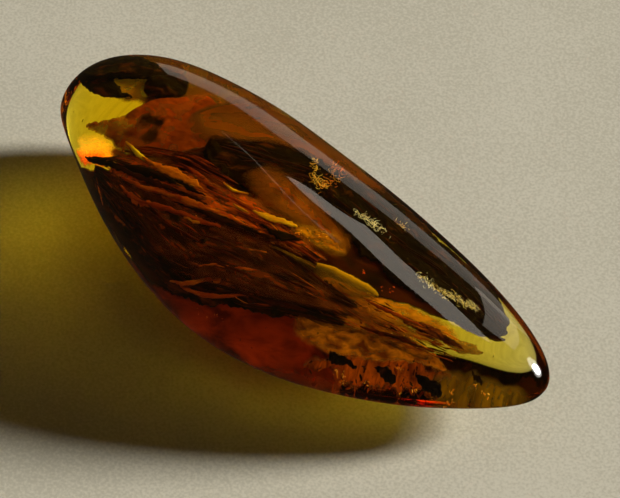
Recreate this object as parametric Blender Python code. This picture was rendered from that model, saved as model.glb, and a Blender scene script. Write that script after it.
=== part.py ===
"""A polished piece of amber with scraps of bark and wood sealed inside it.

The stone lies on its flat underside. X runs along it, from the blunt end to
the tip, Y points to its back and Z is up. The origin is the middle of the
bounding box's underside. The clear stone is parted in two along the old flow
surface on which the scraps lie, and each scrap lies in a pocket between the
halves.
"""

import bmesh
import bpy
import numpy as np

MM = 0.001

# The stone's outline seen from above, and its height.
LENGTH = 50.0 * MM
BACK_BULGE = 8.3 * MM
BACK_TAPER = -0.27
BACK_FULLNESS = 0.14
FRONT_BULGE = 11.8 * MM
FRONT_LEAN = 0.12
FRONT_FULLNESS = -0.57
FRONT_ROUNDNESS = 0.84
CROWN_HEIGHT = 8.8 * MM
KEEL_DEPTH = 6.0 * MM
KEEL_KEPT = 0.88
CROWN_LEAN = -0.45
GIRDLE_HEIGHT = KEEL_DEPTH * KEEL_KEPT

# The tip is lower and further back than on a straight stone. The shift grows along it as a power.
TIP_SHIFT = np.array((-0.77, 1.03, -1.53)) * MM
TIP_SHIFT_POWER = 3.0
RINGS = 30
RING_POINTS = 28

# The flow surface: a low dome that meets the stone's side at the girdle.
FLOW_RISE = 3.6 * MM
PARTING_GAP = 0.3 * MM
PARTING_CELLS_LONG = 22
PARTING_CELLS_ACROSS = 12
PARTING_HALF_LENGTH = 27.0 * MM
PARTING_HALF_WIDTH = 12.5 * MM
BLOCK_HEIGHT = 20.0 * MM

POCKET_GAP = 0.3 * MM

# A scrap narrows as the sine of the way along it to this power, and no further than this.
END_BLUNTNESS = 0.35
LEAST_HALF_WIDTH = 0.15 * MM

# How a scrap's edges wander: (turns per mm, start, share) of the waves on each edge.
FRONT_WAVES = ((2.9, 1.0, 1.0), (5.3, 0.0, 0.6))
BACK_WAVES = ((3.7, 0.0, 1.0), (4.9, 2.0, 0.6))

# The lengthwise ridges of bark and wood: their share of the thickness and their sway.
RIDGE_DEPTH = 0.22
RIDGE_SWAY = 0.15

# Each scrap as stations along the straight stone: (x, front edge, back edge) in mm.
BARK_STRIP = (
    (-9.3, 1.8, 2.8),
    (-8.3, 0.5, 3.1),
    (-5.6, 0.0, 4.2),
    (-3.5, 0.5, 5.6),
    (-1.6, 2.4, 6.1),
    (0.5, 2.4, 6.3),
    (4.0, 1.5, 6.2),
    (7.6, 0.9, 6.0),
    (11.4, 0.6, 5.8),
    (15.0, 0.8, 5.3),
    (18.0, 1.3, 4.6),
    (19.7, 2.2, 3.4),
)
BARK_CHIP = (
    (-22.0, 2.8, 3.3),
    (-20.3, 2.7, 4.2),
    (-18.7, 2.8, 4.8),
    (-17.6, 3.3, 5.1),
    (-16.6, 3.6, 5.3),
    (-15.6, 3.4, 5.2),
    (-14.5, 3.4, 4.8),
    (-13.7, 3.8, 4.3),
)
LEAF_SCRAP = (
    (-17.2, 0.1, 0.6),
    (-16.2, -0.1, 1.1),
    (-15.4, -0.2, 1.9),
    (-14.2, -0.5, 2.4),
    (-13.0, -0.5, 3.0),
    (-11.6, -0.5, 4.2),
    (-10.8, -0.3, 4.2),
    (-10.1, 0.3, 2.6),
)
WOOD_FRAGMENT = (
    (-16.6, -3.6, -3.0),
    (-14.4, -4.6, -3.0),
    (-10.6, -6.3, -2.8),
    (-6.9, -7.8, -2.6),
    (-3.6, -8.6, -2.2),
    (-0.5, -8.0, -1.9),
    (2.5, -7.1, -2.5),
    (5.8, -5.8, -2.6),
    (9.5, -4.5, -2.5),
    (13.2, -3.4, -2.1),
    (16.2, -2.5, -2.1),
)

# Each splinter as the points of its centre line, (x, y) in mm.
UPPER_SPLINTER = (
    (-17.8, -2.2),
    (-13.4, -1.7),
    (-9.7, -1.6),
    (-6.1, -1.3),
    (-2.5, -0.6),
    (1.4, 0.1),
    (5.0, 0.1),
)
GOLDEN_SPLINTER = ((2.2, -1.4), (5.8, -1.2), (8.6, -0.9), (10.8, -0.8))
TIP_SPLINTER = ((12.5, -1.3), (14.3, -1.0), (16.4, -0.5), (18.4, -0.3))

# The part of a sine's half wave that a splinter's width follows from end to end.
TAPER_SPAN = (0.09, 0.91)

# Each crumb as (x, y, length, width) in mm.
CRUMBS = (
    (11.0, -6.3, 2.6, 1.0),
    (14.4, -5.2, 2.0, 1.1),
    (17.6, -3.9, 2.8, 0.9),
    (20.3, -1.2, 1.3, 0.8),
)

# A crumb's profile: the way along its length and its share of the full width there.
CRUMB_PROFILE = ((-0.5, 0.25), (-0.2, 0.9), (0.15, 1.0), (0.5, 0.3))

BARK_BROWN = (0.035, 0.018, 0.010)
LEAF_BROWN = (0.22, 0.075, 0.015)
WOOD_BROWN = (0.10, 0.030, 0.010)
SPLINTER_GOLD = (0.55, 0.27, 0.04)
AMBER_YELLOW = (0.75, 0.36, 0.03)


def clear_scene():
    """Removes every object that the scene starts with."""
    for obj in list(bpy.data.objects):
        bpy.data.objects.remove(obj)


def outline_edges(x):
    """The straight stone's front and back edge at x before it is centred, and how high it is there."""
    c = np.clip(2.0 * np.asarray(x, float) / LENGTH, -1.0, 1.0)
    s = np.sqrt(1.0 - c * c)
    back = BACK_BULGE * s * (1.0 + BACK_TAPER * c + BACK_FULLNESS * c * c)
    front = -FRONT_BULGE * s**FRONT_ROUNDNESS * (1.0 + FRONT_LEAN * c + FRONT_FULLNESS * c * c)
    return front, back, s * (1.0 + CROWN_LEAN * c)


def shift_share(x):
    """The share of the tip's shift at x along the straight stone."""
    along = np.clip((1.0 + 2.0 * np.asarray(x, float) / LENGTH) / 2.0, 0.0, 1.0)
    return along**TIP_SHIFT_POWER


def box_middles():
    """The middle across of the straight outline, and that of the outline with its low tip, from there."""
    x = np.linspace(-LENGTH / 2, LENGTH / 2, 2001)
    front, back, _ = outline_edges(x)
    straight = (front.min() + back.max()) / 2
    sway = shift_share(x) * TIP_SHIFT[1] - straight
    return straight, ((front + sway).min() + (back + sway).max()) / 2


OUTLINE_MIDDLE, SWAYED_MIDDLE = box_middles()
FRAME_SHIFT = np.array((-TIP_SHIFT[0] / 2, -SWAYED_MIDDLE, 0.0))


def edges_at(x):
    """The straight stone's front and back edge at x in its centred frame, and how high it is there."""
    front, back, height = outline_edges(x)
    return front - OUTLINE_MIDDLE, back - OUTLINE_MIDDLE, height


def flow_height(x, y):
    """The height of the straight stone's flow surface over a point of the base."""
    front, back, height = edges_at(x)
    half = np.maximum((back - front) / 2, 0.01 * MM)
    across = np.clip((y - (front + back) / 2) / half, -1.0, 1.0)
    return GIRDLE_HEIGHT + FLOW_RISE * height * (1.0 - across * across)


def with_low_tip(points):
    """Points of the straight stone where they lie once its tip is lowered and its box is centred."""
    points = np.asarray(points, float)
    share = shift_share(points[..., 0])
    return points + share[..., None] * TIP_SHIFT + FRAME_SHIFT


def material(name, colour, roughness, transmission=0.0):
    """A plain material, clear where transmission is 1."""
    made = bpy.data.materials.new(name)
    made.use_nodes = True
    shader = made.node_tree.nodes["Principled BSDF"]
    shader.inputs["Base Color"].default_value = (*colour, 1.0)
    shader.inputs["Roughness"].default_value = roughness
    shader.inputs["Metallic"].default_value = 0.0
    shader.inputs["Transmission Weight"].default_value = transmission
    return made


def mesh_object(name, points, faces, finish=None):
    """An object made of points and faces, with its faces turned outwards."""
    mesh = bpy.data.meshes.new(name)
    mesh.from_pydata([tuple(p) for p in points], [], faces)
    shape = bmesh.new()
    shape.from_mesh(mesh)
    bmesh.ops.recalc_face_normals(shape, faces=shape.faces)
    shape.to_mesh(mesh)
    shape.free()
    mesh.shade_smooth()
    obj = bpy.data.objects.new(name, mesh)
    bpy.context.scene.collection.objects.link(obj)
    if finish is not None:
        mesh.materials.append(finish)
    return obj


def closed_loft(rings, first, last):
    """Points and faces of a closed body through equal rings of the straight stone, with pointed ends."""
    count, around = len(rings), len(rings[0])
    points = with_low_tip([p for ring in rings for p in ring] + [first, last])
    first_index, last_index = count * around, count * around + 1
    faces = []
    for i in range(count - 1):
        for j in range(around):
            k = (j + 1) % around
            here, there = i * around, (i + 1) * around
            faces.append((here + j, here + k, there + k, there + j))
    for j in range(around):
        k = (j + 1) % around
        faces.append((first_index, k, j))
        faces.append((last_index, (count - 1) * around + j, (count - 1) * around + k))
    return points, faces


def stone_body(name):
    """The whole stone: a low ellipse on a flatter one at each station, and then cut flat below."""
    angles = np.linspace(0.0, 2.0 * np.pi, RING_POINTS, endpoint=False)
    rings = []
    for t in np.linspace(0.0, np.pi, RINGS + 1)[1:-1]:
        x = -np.cos(t) * LENGTH / 2
        front, back, height = edges_at(x)
        reach = np.where(np.sin(angles) > 0, CROWN_HEIGHT, KEEL_DEPTH) * height
        y = (front + back) / 2 + (back - front) / 2 * np.cos(angles)
        z = GIRDLE_HEIGHT + reach * np.sin(angles)
        rings.append([(x, float(p), float(q)) for p, q in zip(y, z)])
    ends = [(side * LENGTH / 2, -OUTLINE_MIDDLE, GIRDLE_HEIGHT) for side in (-1, 1)]
    points, faces = closed_loft(rings, *ends)
    points[:, 2] = np.maximum(points[:, 2], 0.0)
    return mesh_object(name, points, faces)


def hide_cutter(obj):
    """Marks an object as a tool that only shapes others."""
    obj.hide_render = True
    obj.display_type = "WIRE"


def parting_block(name, side):
    """A block above the flow surface (side 1) or below it (side -1), half the gap away."""
    xs = np.linspace(-PARTING_HALF_LENGTH, PARTING_HALF_LENGTH, PARTING_CELLS_LONG + 1)
    ys = np.linspace(-PARTING_HALF_WIDTH, PARTING_HALF_WIDTH, PARTING_CELLS_ACROSS + 1)
    x, y = (a.ravel() for a in np.meshgrid(xs, ys, indexing="ij"))
    near = np.stack([x, y, flow_height(x, y) + side * PARTING_GAP / 2], -1)
    far = np.stack([x, y, np.full_like(x, GIRDLE_HEIGHT + side * BLOCK_HEIGHT)], -1)
    row, layer = len(ys), len(x)
    faces = []
    for i in range(PARTING_CELLS_LONG):
        for j in range(PARTING_CELLS_ACROSS):
            cell = (i * row + j, i * row + j + 1, (i + 1) * row + j + 1, (i + 1) * row + j)
            faces.append(cell)
            faces.append(tuple(k + layer for k in reversed(cell)))
    rim = [i * row for i in range(len(xs))]
    rim += [(len(xs) - 1) * row + j for j in range(1, row)]
    rim += [i * row + row - 1 for i in range(len(xs) - 2, -1, -1)]
    rim += list(range(row - 2, 0, -1))
    for a, b in zip(rim, rim[1:] + rim[:1]):
        faces.append((a, b, b + layer, a + layer))
    block = mesh_object(name, with_low_tip(np.concatenate([near, far])), faces)
    hide_cutter(block)
    return block


def smooth_through(knots, values, at):
    """A smooth curve through the values at the knots, read at the places asked for."""
    slopes = np.gradient(values, knots)
    index = np.clip(np.searchsorted(knots, at) - 1, 0, len(knots) - 2)
    step = knots[index + 1] - knots[index]
    t = (at - knots[index]) / step
    before, after = values[index], values[index + 1]
    return (
        before * (1 + 2 * t) * (1 - t) ** 2
        + slopes[index] * step * t * (1 - t) ** 2
        + after * t * t * (3 - 2 * t)
        + slopes[index + 1] * step * t * t * (t - 1)
    )


def wander(waves, x):
    """The sum of the waves at x."""
    return sum(share * np.sin(x / MM * turns + start) for turns, start, share in waves)


class Scrap:
    """A flat scrap that lies on the flow surface, as edges along X with a lens across.

    stations holds (x, front, back) in mm. thickness is the middle's, ragged is how
    far the edges wander, ridges is how many lengthwise ridges its faces have and
    roll is how much its back edge rises for each unit of width.
    """

    def __init__(
        self, name, stations, thickness, ragged, ridges=0, roll=0.0, rows=20, around=8
    ):
        self.name = name
        self.stations = np.array(stations, float) * MM
        self.thickness = thickness * MM
        self.ragged = ragged * MM
        self.ridges = ridges
        self.roll = roll
        self.rows = rows
        self.around = around

    def edges(self, x):
        """The front and back edge at x, with their wander."""
        knots, front, back = self.stations.T
        return (
            smooth_through(knots, front, x) - self.ragged * wander(FRONT_WAVES, x),
            smooth_through(knots, back, x) + self.ragged * wander(BACK_WAVES, x),
        )

    def loft(self, grow, rows, around, ridged):
        """Points and faces of the scrap, or of its pocket when it grows."""
        knots = self.stations[:, 0]
        low, high = knots[0], knots[-1]
        middle, half_length = (low + high) / 2, (high - low) / 2
        angles = np.linspace(0.0, 2.0 * np.pi, around, endpoint=False)
        rings = []
        for t in np.linspace(0.0, np.pi, rows + 1)[1:-1]:
            inner_x = middle - np.cos(t) * half_length
            x = middle - np.cos(t) * (half_length + grow)
            front, back = self.edges(inner_x)
            full = np.sin(t) ** END_BLUNTNESS
            half = np.maximum((back - front) / 2, LEAST_HALF_WIDTH) * full + grow
            thick = self.thickness / 2 * full + grow
            centre = (front + back) / 2
            offset = half * np.cos(angles)
            y = centre + offset
            bulge = np.sin(angles) * thick
            if ridged and self.ridges:
                place = offset / half + RIDGE_SWAY * np.sin(x / MM)
                groove = (1.0 + np.cos(np.pi * self.ridges * place)) / 2
                bulge = bulge * (1.0 - RIDGE_DEPTH * groove)
            z = flow_height(x, y) + self.roll * offset + bulge
            rings.append([(x, float(p), float(q)) for p, q in zip(y, z)])
        ends = []
        for end, x in ((0, low - grow), (-1, high + grow)):
            y = float(self.stations[end, 1:].mean())
            ends.append((x, y, float(flow_height(x, y))))
        return closed_loft(rings, *ends)

    def build(self, finish):
        """The scrap's object and its pocket's cutter."""
        shape = self.loft(0.0, self.rows, self.around, True)
        body = mesh_object(self.name, *shape, finish)
        hollow = self.loft(POCKET_GAP, self.rows * 2 // 3, self.around * 3 // 4, False)
        pocket = mesh_object(self.name + "_pocket", *hollow)
        hide_cutter(pocket)
        return body, pocket


def splinter_stations(line, width):
    """Stations of a splinter that tapers to both ends of its centre line."""
    found = []
    for t, (x, y) in zip(np.linspace(*TAPER_SPAN, len(line)), line):
        half = width / 2 * np.sin(np.pi * t)
        found.append((x, y - half, y + half))
    return tuple(found)


def crumb_stations(x, y, length, width):
    """Stations of a lump that is blunt at one end."""
    return tuple(
        (x + a * length, y - b * width / 2, y + b * width / 2) for a, b in CRUMB_PROFILE
    )


def all_scraps():
    """Every scrap with its finish."""
    bark = material("bark", BARK_BROWN, 0.75)
    leaf = material("leaf", LEAF_BROWN, 0.6)
    wood = material("wood", WOOD_BROWN, 0.7)
    gold = material("golden_wood", SPLINTER_GOLD, 0.5)
    upper = splinter_stations(UPPER_SPLINTER, 0.8)
    golden = splinter_stations(GOLDEN_SPLINTER, 0.9)
    tip = splinter_stations(TIP_SPLINTER, 0.7)
    scraps = [
        (Scrap("bark_strip", BARK_STRIP, 1.0, 0.09, ridges=3, rows=30, around=12), bark),
        (Scrap("bark_chip", BARK_CHIP, 0.9, 0.05), bark),
        (Scrap("leaf_scrap", LEAF_SCRAP, 0.7, 0.08, roll=0.05), leaf),
        (Scrap("wood_fragment", WOOD_FRAGMENT, 1.8, 0.12, ridges=5, rows=30, around=18), wood),
        (Scrap("splinter_upper", upper, 0.7, 0.03, roll=0.2), wood),
        (Scrap("splinter_golden", golden, 0.6, 0.03, roll=-0.2, rows=16), gold),
        (Scrap("splinter_tip", tip, 0.6, 0.03, rows=14), wood),
    ]
    for number, crumb in enumerate(CRUMBS, 1):
        lump = Scrap(f"bark_crumb_{number}", crumb_stations(*crumb), 1.2, 0.05, rows=8)
        scraps.append((lump, bark))
    return scraps


def add_boolean(obj, cutter, operation):
    """A live Boolean on obj."""
    made = obj.modifiers.new(cutter.name, "BOOLEAN")
    made.operation = operation
    made.object = cutter
    made.solver = "EXACT"


def main():
    """Builds the scraps, then the two halves of the stone around them."""
    clear_scene()
    pockets = [scrap.build(finish)[1] for scrap, finish in all_scraps()]
    amber = material("amber", AMBER_YELLOW, 0.04, transmission=1.0)
    for name, side in (("amber_upper", 1), ("amber_lower", -1)):
        half = stone_body(name)
        half.data.materials.append(amber)
        add_boolean(half, parting_block(name + "_block", side), "INTERSECT")
        for pocket in pockets:
            add_boolean(half, pocket, "DIFFERENCE")


main()
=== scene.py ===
"""The look of a polished piece of amber with scraps of bark, leaf and wood sealed inside it.

X runs along the stone from its blunt end to its tip, Y points to its back and Z is up. Shapes are
worked out in millimetres and turned into metres where their mesh is made.
"""

import logging
import math
from dataclasses import dataclass
from enum import Enum
from functools import cache

import bpy
import numpy as np
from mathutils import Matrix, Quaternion, Vector


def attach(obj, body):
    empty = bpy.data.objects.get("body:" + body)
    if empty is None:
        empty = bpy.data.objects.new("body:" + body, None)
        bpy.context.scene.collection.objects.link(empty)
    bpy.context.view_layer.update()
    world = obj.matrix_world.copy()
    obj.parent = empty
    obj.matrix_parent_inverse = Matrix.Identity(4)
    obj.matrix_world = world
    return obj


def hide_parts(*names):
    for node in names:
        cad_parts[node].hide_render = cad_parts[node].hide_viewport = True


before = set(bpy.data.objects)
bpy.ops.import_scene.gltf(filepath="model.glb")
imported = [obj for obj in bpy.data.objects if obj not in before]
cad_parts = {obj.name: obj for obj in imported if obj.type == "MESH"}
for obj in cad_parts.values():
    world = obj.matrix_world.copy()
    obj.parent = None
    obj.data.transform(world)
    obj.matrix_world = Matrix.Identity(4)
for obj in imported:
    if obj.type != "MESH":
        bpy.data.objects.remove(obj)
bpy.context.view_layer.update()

log = logging.getLogger("amber")

MM = 0.001
FULL_TURN = 6.28
BODY = "root"
SHINE_IN_RESIN = 0.08


class Slot(Enum):
    """The material slots of the record."""

    AMBER = "amber"
    BARK = "bark"
    LEAF = "leaf"
    WOOD = "wood"
    GOLDEN_WOOD = "golden_wood"


Point = tuple[float, float, float]
Colour = tuple[float, float, float]
Stations = tuple[Point, ...]
Path = tuple[Point, ...]
Line = tuple[tuple[float, float], ...]
Range = tuple[float, float]
Socket = bpy.types.NodeSocket
Stops = list[tuple[float, Colour]]


# Shader graphs


class Signal:
    """A number that runs through a material's nodes and takes part in Python sums."""

    def __init__(self, graph: "Graph", socket: Socket) -> None:
        """Wraps an output socket of one of the graph's nodes."""
        self.graph = graph
        self.socket = socket

    def _sum(self, operation: str, first: "Signal | float", second: "Signal | float") -> "Signal":
        """Adds a Math node.

        Args:
            operation: the node's operation.
            first: its first value.
            second: its second value.

        Returns:
            The node's result.
        """
        made = self.graph.node("Math", {0: first, 1: second}, operation=operation)
        return Signal(self.graph, made.outputs[0])

    def __add__(self, other: "Signal | float") -> "Signal":
        """self + other."""
        return self._sum("ADD", self, other)

    def __radd__(self, other: float) -> "Signal":
        """other + self."""
        return self._sum("ADD", other, self)

    def __sub__(self, other: "Signal | float") -> "Signal":
        """self - other."""
        return self._sum("SUBTRACT", self, other)

    def __rsub__(self, other: float) -> "Signal":
        """other - self."""
        return self._sum("SUBTRACT", other, self)

    def __mul__(self, other: "Signal | float") -> "Signal":
        """self * other."""
        return self._sum("MULTIPLY", self, other)

    def __rmul__(self, other: float) -> "Signal":
        """other * self."""
        return self._sum("MULTIPLY", other, self)

    def between(self, low: float, high: float) -> "Signal":
        """0 where this is at or under low, 1 at or over high, and smooth between.

        Args:
            low: where it starts to rise.
            high: where it has risen.

        Returns:
            The eased number.
        """
        made = self.graph.node("MapRange", {0: self, 1: low, 2: high}, interpolation_type="SMOOTHSTEP")
        return Signal(self.graph, made.outputs[0])


class Graph:
    """The node tree of one material."""

    def __init__(self, name: str) -> None:
        """Starts a material of this name with nothing but its output.

        Args:
            name: the material's name.
        """
        self.material = bpy.data.materials.new(name)
        self.material.use_nodes = True
        self.tree = self.material.node_tree
        self.tree.nodes.clear()
        self.output = self.tree.nodes.new("ShaderNodeOutputMaterial")

    def node(self, kind: str, inputs: dict | None = None, **settings: object) -> bpy.types.Node:
        """Adds a node.

        Args:
            kind: its type, without the ShaderNode in front.
            inputs: a value, a Signal or a socket for each input, by name or number.
            settings: its properties, and stops for a colour ramp's (place, colour) pairs.

        Returns:
            The node.
        """
        made = self.tree.nodes.new("ShaderNode" + kind)
        for name, value in settings.items():
            if name == "stops":
                self._set_stops(made.color_ramp, value)
            else:
                setattr(made, name, value)
        for place, value in (inputs or {}).items():
            if isinstance(value, Signal):
                self.tree.links.new(value.socket, made.inputs[place])
            elif isinstance(value, Socket):
                self.tree.links.new(value, made.inputs[place])
            else:
                made.inputs[place].default_value = value
        return made

    def _set_stops(self, ramp: bpy.types.ColorRamp, stops: Stops) -> None:
        """Gives a colour ramp its stops.

        Args:
            ramp: the ramp of a node.
            stops: its places from 0 to 1, each with its colour.
        """
        while len(ramp.elements) < len(stops):
            ramp.elements.new(0.5)
        for element, (place, colour) in zip(ramp.elements, stops):
            element.position = place
            element.color = (*colour, 1.0)

    def object_place(self, stretch: Point = (1.0, 1.0, 1.0)) -> Socket:
        """The point's place on the piece in millimetres, times stretch.

        Args:
            stretch: the factor for each axis.

        Returns:
            The place's socket.
        """
        place = self.node("TexCoord").outputs["Object"]
        scale = tuple(s / MM for s in stretch)
        return self.node("Mapping", {"Vector": place, "Scale": scale}).outputs[0]

    def grain_place(self, stretch: Point = (1.0, 1.0, 1.0)) -> Socket:
        """The point's place along and across the grain in millimetres, times stretch."""
        place = self.node("Attribute", attribute_name="grain").outputs["Vector"]
        return self.node("Mapping", {"Vector": place, "Scale": stretch}).outputs[0]

    def tone(self) -> Signal:
        """The piece's own tone, from 0 to 1."""
        return Signal(self, self.node("Attribute", attribute_name="tone").outputs["Fac"])

    def rim(self) -> Signal:
        """0 on the rim of a piece and 1 in its middle."""
        return Signal(self, self.node("Attribute", attribute_name="rim").outputs["Fac"])

    def away(self, place: Socket, centre: Point) -> Signal:
        """How far a place is from a point."""
        made = self.node("VectorMath", {0: place, 1: centre}, operation="DISTANCE")
        return Signal(self, made.outputs["Value"])

    def noise(self, place: Socket, scale: float, detail: float = 3.0, twist: float = 0.0) -> Signal:
        """Smooth noise about 0.5 at a place.

        Args:
            place: where it is read.
            scale: patches in a unit.
            detail: octaves.
            twist: how far it is distorted.

        Returns:
            The noise.
        """
        inputs = {"Vector": place, "Scale": scale, "Detail": detail, "Distortion": twist}
        return Signal(self, self.node("TexNoise", inputs).outputs["Fac"])

    def ramp(self, value: Signal, stops: Stops) -> Socket:
        """The colour of a ramp at a value."""
        return self.node("ValToRGB", {0: value}, stops=stops).outputs["Color"]

    def mix(self, share: Signal | float, first: Colour | Socket, second: Colour | Socket) -> Socket:
        """first where share is 0, second where it is 1, and a blend between.

        Args:
            share: how much of the second shows.
            first: a colour or a colour socket.
            second: another.

        Returns:
            The mixed colour's socket.
        """
        first, second = ((*c, 1.0) if isinstance(c, tuple) else c for c in (first, second))
        made = self.node("Mix", {0: share, 6: first, 7: second}, data_type="RGBA")
        return made.outputs[2]

    def bump(self, height: Signal, depth: float, strength: float = 1.0) -> Socket:
        """A normal bent by height, whose 0 to 1 is depth in millimetres."""
        inputs = {"Height": height, "Distance": depth * MM, "Strength": strength}
        return self.node("Bump", inputs).outputs["Normal"]

    def surface(self, **inputs: object) -> None:
        """Ends the graph in a Principled shader, which hardly shines unless told, as it lies in resin.

        Args:
            inputs: its sockets' values, with _ for a space in a socket's name.
        """
        named = {name.replace("_", " "): value for name, value in inputs.items()}
        named.setdefault("Specular IOR Level", SHINE_IN_RESIN)
        if isinstance(named["Base Color"], tuple):
            named["Base Color"] = (*named["Base Color"], 1.0)
        shader = self.node("BsdfPrincipled", named)
        self.tree.links.new(shader.outputs["BSDF"], self.output.inputs["Surface"])


# Finishes


@dataclass(frozen=True)
class ClearAmber:
    """Polished clear resin: yellow where thin, orange where thick, with faint wear on its surface."""

    tint: Colour = (1.0, 0.985, 0.94)
    index: float = 1.54
    shine: float = 0.5
    polish: float = 0.012
    wear: float = 0.03
    soak: Colour = (0.9923, 0.92, 0.03)
    soak_per_m: float = 390.0

    def material(self) -> bpy.types.Material:
        """The see-through material, with absorption inside.

        Returns:
            The material.
        """
        graph = Graph("clear_amber")
        place = graph.object_place()
        patches = graph.noise(place, 0.35, 4.0).between(0.45, 0.75)
        scratches = graph.noise(graph.object_place((0.2, 0.6, 0.6)), 0.5, 1.0, 0.4)
        graph.surface(
            Base_Color=self.tint,
            Roughness=self.polish + self.wear * patches * scratches,
            IOR=self.index,
            Specular_IOR_Level=self.shine,
            Transmission_Weight=1.0,
            Normal=graph.bump(scratches, 0.02, 0.3),
        )
        inside = graph.node(
            "VolumeAbsorption", {"Color": (*self.soak, 1.0), "Density": self.soak_per_m}
        )
        graph.tree.links.new(inside.outputs[0], graph.output.inputs["Volume"])
        return graph.material


@dataclass(frozen=True)
class Bark:
    """Matte charred-looking bark, black with dark red-brown where it wears thin."""

    name: str = "bark"
    black: Colour = (0.008, 0.003, 0.002)
    brown: Colour = (0.090, 0.020, 0.006)
    brown_share: float = 0.55

    def material(self) -> bpy.types.Material:
        """The bark's material, streaked along the grain.

        Returns:
            The material.
        """
        graph = Graph(self.name)
        streaks = graph.noise(graph.grain_place((0.5, 2.6, 1.0)), 0.9, 5.0, 0.6)
        patches = graph.noise(graph.object_place(), 0.45, 3.0, 0.5)
        share = (streaks * 0.5 + patches * 0.5).between(self.brown_share, self.brown_share + 0.14)
        graph.surface(
            Base_Color=graph.mix(share, self.black, self.brown),
            Roughness=0.55 + 0.35 * streaks,
            Normal=graph.bump(streaks, 0.16),
        )
        return graph.material


@dataclass(frozen=True)
class Leaf:
    """A thin brown leaf scrap that light shines through, with dark spots and a ragged edge."""

    light: Colour = (0.44, 0.085, 0.008)
    dark: Colour = (0.11, 0.014, 0.003)
    spot: Colour = (0.012, 0.004, 0.002)
    spots: Path = ((-13.8, 1.35, 0.35), (-12.9, 1.6, 0.3), (-12.5, 0.5, 0.35))
    spot_height: float = 8.9

    def material(self) -> bpy.types.Material:
        """The leaf's material: mottled brown with soft-edged spots.

        Returns:
            The material.
        """
        graph = Graph("leaf")
        place = graph.object_place()
        mottle = graph.noise(place, 0.8, 6.0, 0.3)
        veins = graph.noise(graph.object_place((0.5, 1.6, 1.0)), 1.6, 4.0, 0.3)
        colour = graph.mix((mottle * 0.6 + veins * 0.4).between(0.32, 0.66), self.dark, self.light)
        wobble = graph.noise(place, 1.8, 3.0)
        for x, y, size in self.spots:
            away = graph.away(place, (x, y, self.spot_height))
            near = 1.0 - (away + wobble - 0.5).between(size, size + 0.5)
            colour = graph.mix(near, colour, self.spot)
        graph.surface(
            Base_Color=colour,
            Roughness=0.6,
            Alpha=graph.rim().between(0.0, 0.12) * (0.62 + 0.38 * (1.0 - mottle).between(0.40, 0.60)),
            Normal=graph.bump(mottle, 0.12),
        )
        return graph.material


@dataclass(frozen=True)
class Wood:
    """Fibrous dark wood with rust, orange and golden fibres in it, fading out along the piece."""

    name: str = "wood"
    bright: float = 0.0
    fade: Range = (30.0, 31.0)

    def material(self) -> bpy.types.Material:
        """The wood's material: long streaks that follow the grain.

        Returns:
            The material.
        """
        graph = Graph(self.name)
        long_streaks = graph.noise(graph.grain_place((0.2, 1.9, 1.0)), 1.0, 7.0, 0.5)
        fine_streaks = graph.noise(graph.grain_place((0.4, 6.0, 1.0)), 1.0, 4.0, 0.4)
        colour = graph.ramp(
            long_streaks * 0.65 + fine_streaks * 0.35 + self.bright,
            [
                (0.44, (0.004, 0.002, 0.0015)),
                (0.52, (0.022, 0.004, 0.002)),
                (0.58, (0.11, 0.018, 0.003)),
                (0.64, (0.30, 0.07, 0.008)),
                (0.74, (0.50, 0.20, 0.025)),
            ],
        )
        way = graph.node("SeparateXYZ", {0: graph.object_place()})
        fading = Signal(graph, way.outputs["X"]).between(*self.fade)
        graph.surface(
            Base_Color=colour,
            Alpha=1.0 - fading * (0.75 + 0.25 * long_streaks.between(0.4, 0.6)),
            Roughness=0.45 + 0.3 * fine_streaks,
            Normal=graph.bump(long_streaks * 0.6 + fine_streaks * 0.4, 0.22),
        )
        return graph.material


@dataclass(frozen=True)
class Fibre:
    """Thin fibres whose colour runs from near black to yellow with their tone."""

    name: str = "fibre"
    speckled: float = 0.45

    def material(self) -> bpy.types.Material:
        """The fibres' material: dark to yellow with their tone, finely speckled.

        Returns:
            The material.
        """
        graph = Graph(self.name)
        speckle = graph.noise(graph.grain_place((0.8, 3.0, 1.0)), 1.5, 4.0, 0.5)
        colour = graph.ramp(
            graph.tone() + self.speckled * (speckle - 0.5),
            [
                (0.0, (0.006, 0.003, 0.002)),
                (0.25, (0.050, 0.006, 0.002)),
                (0.5, (0.34, 0.045, 0.004)),
                (0.75, (0.75, 0.25, 0.015)),
                (1.0, (0.95, 0.75, 0.08)),
            ],
        )
        graph.surface(Base_Color=colour, Roughness=0.35 + 0.3 * speckle, Normal=graph.bump(speckle, 0.06))
        return graph.material


@dataclass(frozen=True)
class Blade:
    """A thin yellow blade of wood, bright along its back edge and olive brown towards its front."""

    bright: Colour = (0.85, 0.50, 0.03)
    middle: Colour = (0.34, 0.18, 0.012)
    dark: Colour = (0.12, 0.055, 0.006)

    def material(self) -> bpy.types.Material:
        """The blade's material, streaked along the grain and part see-through.

        Returns:
            The material.
        """
        graph = Graph("blade")
        streaks = graph.noise(graph.grain_place((0.3, 4.0, 1.0)), 1.0, 4.0, 0.5)
        across = graph.tone() + 0.35 * (streaks - 0.5)
        colour = graph.ramp(across, [(0.2, self.dark), (0.62, self.middle), (0.9, self.bright)])
        graph.surface(
            Base_Color=colour,
            Roughness=0.4,
            Alpha=graph.rim().between(0.0, 0.15) * (0.3 + 0.7 * across.between(0.3, 0.85)),
            Normal=graph.bump(streaks, 0.08),
        )
        return graph.material


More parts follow.
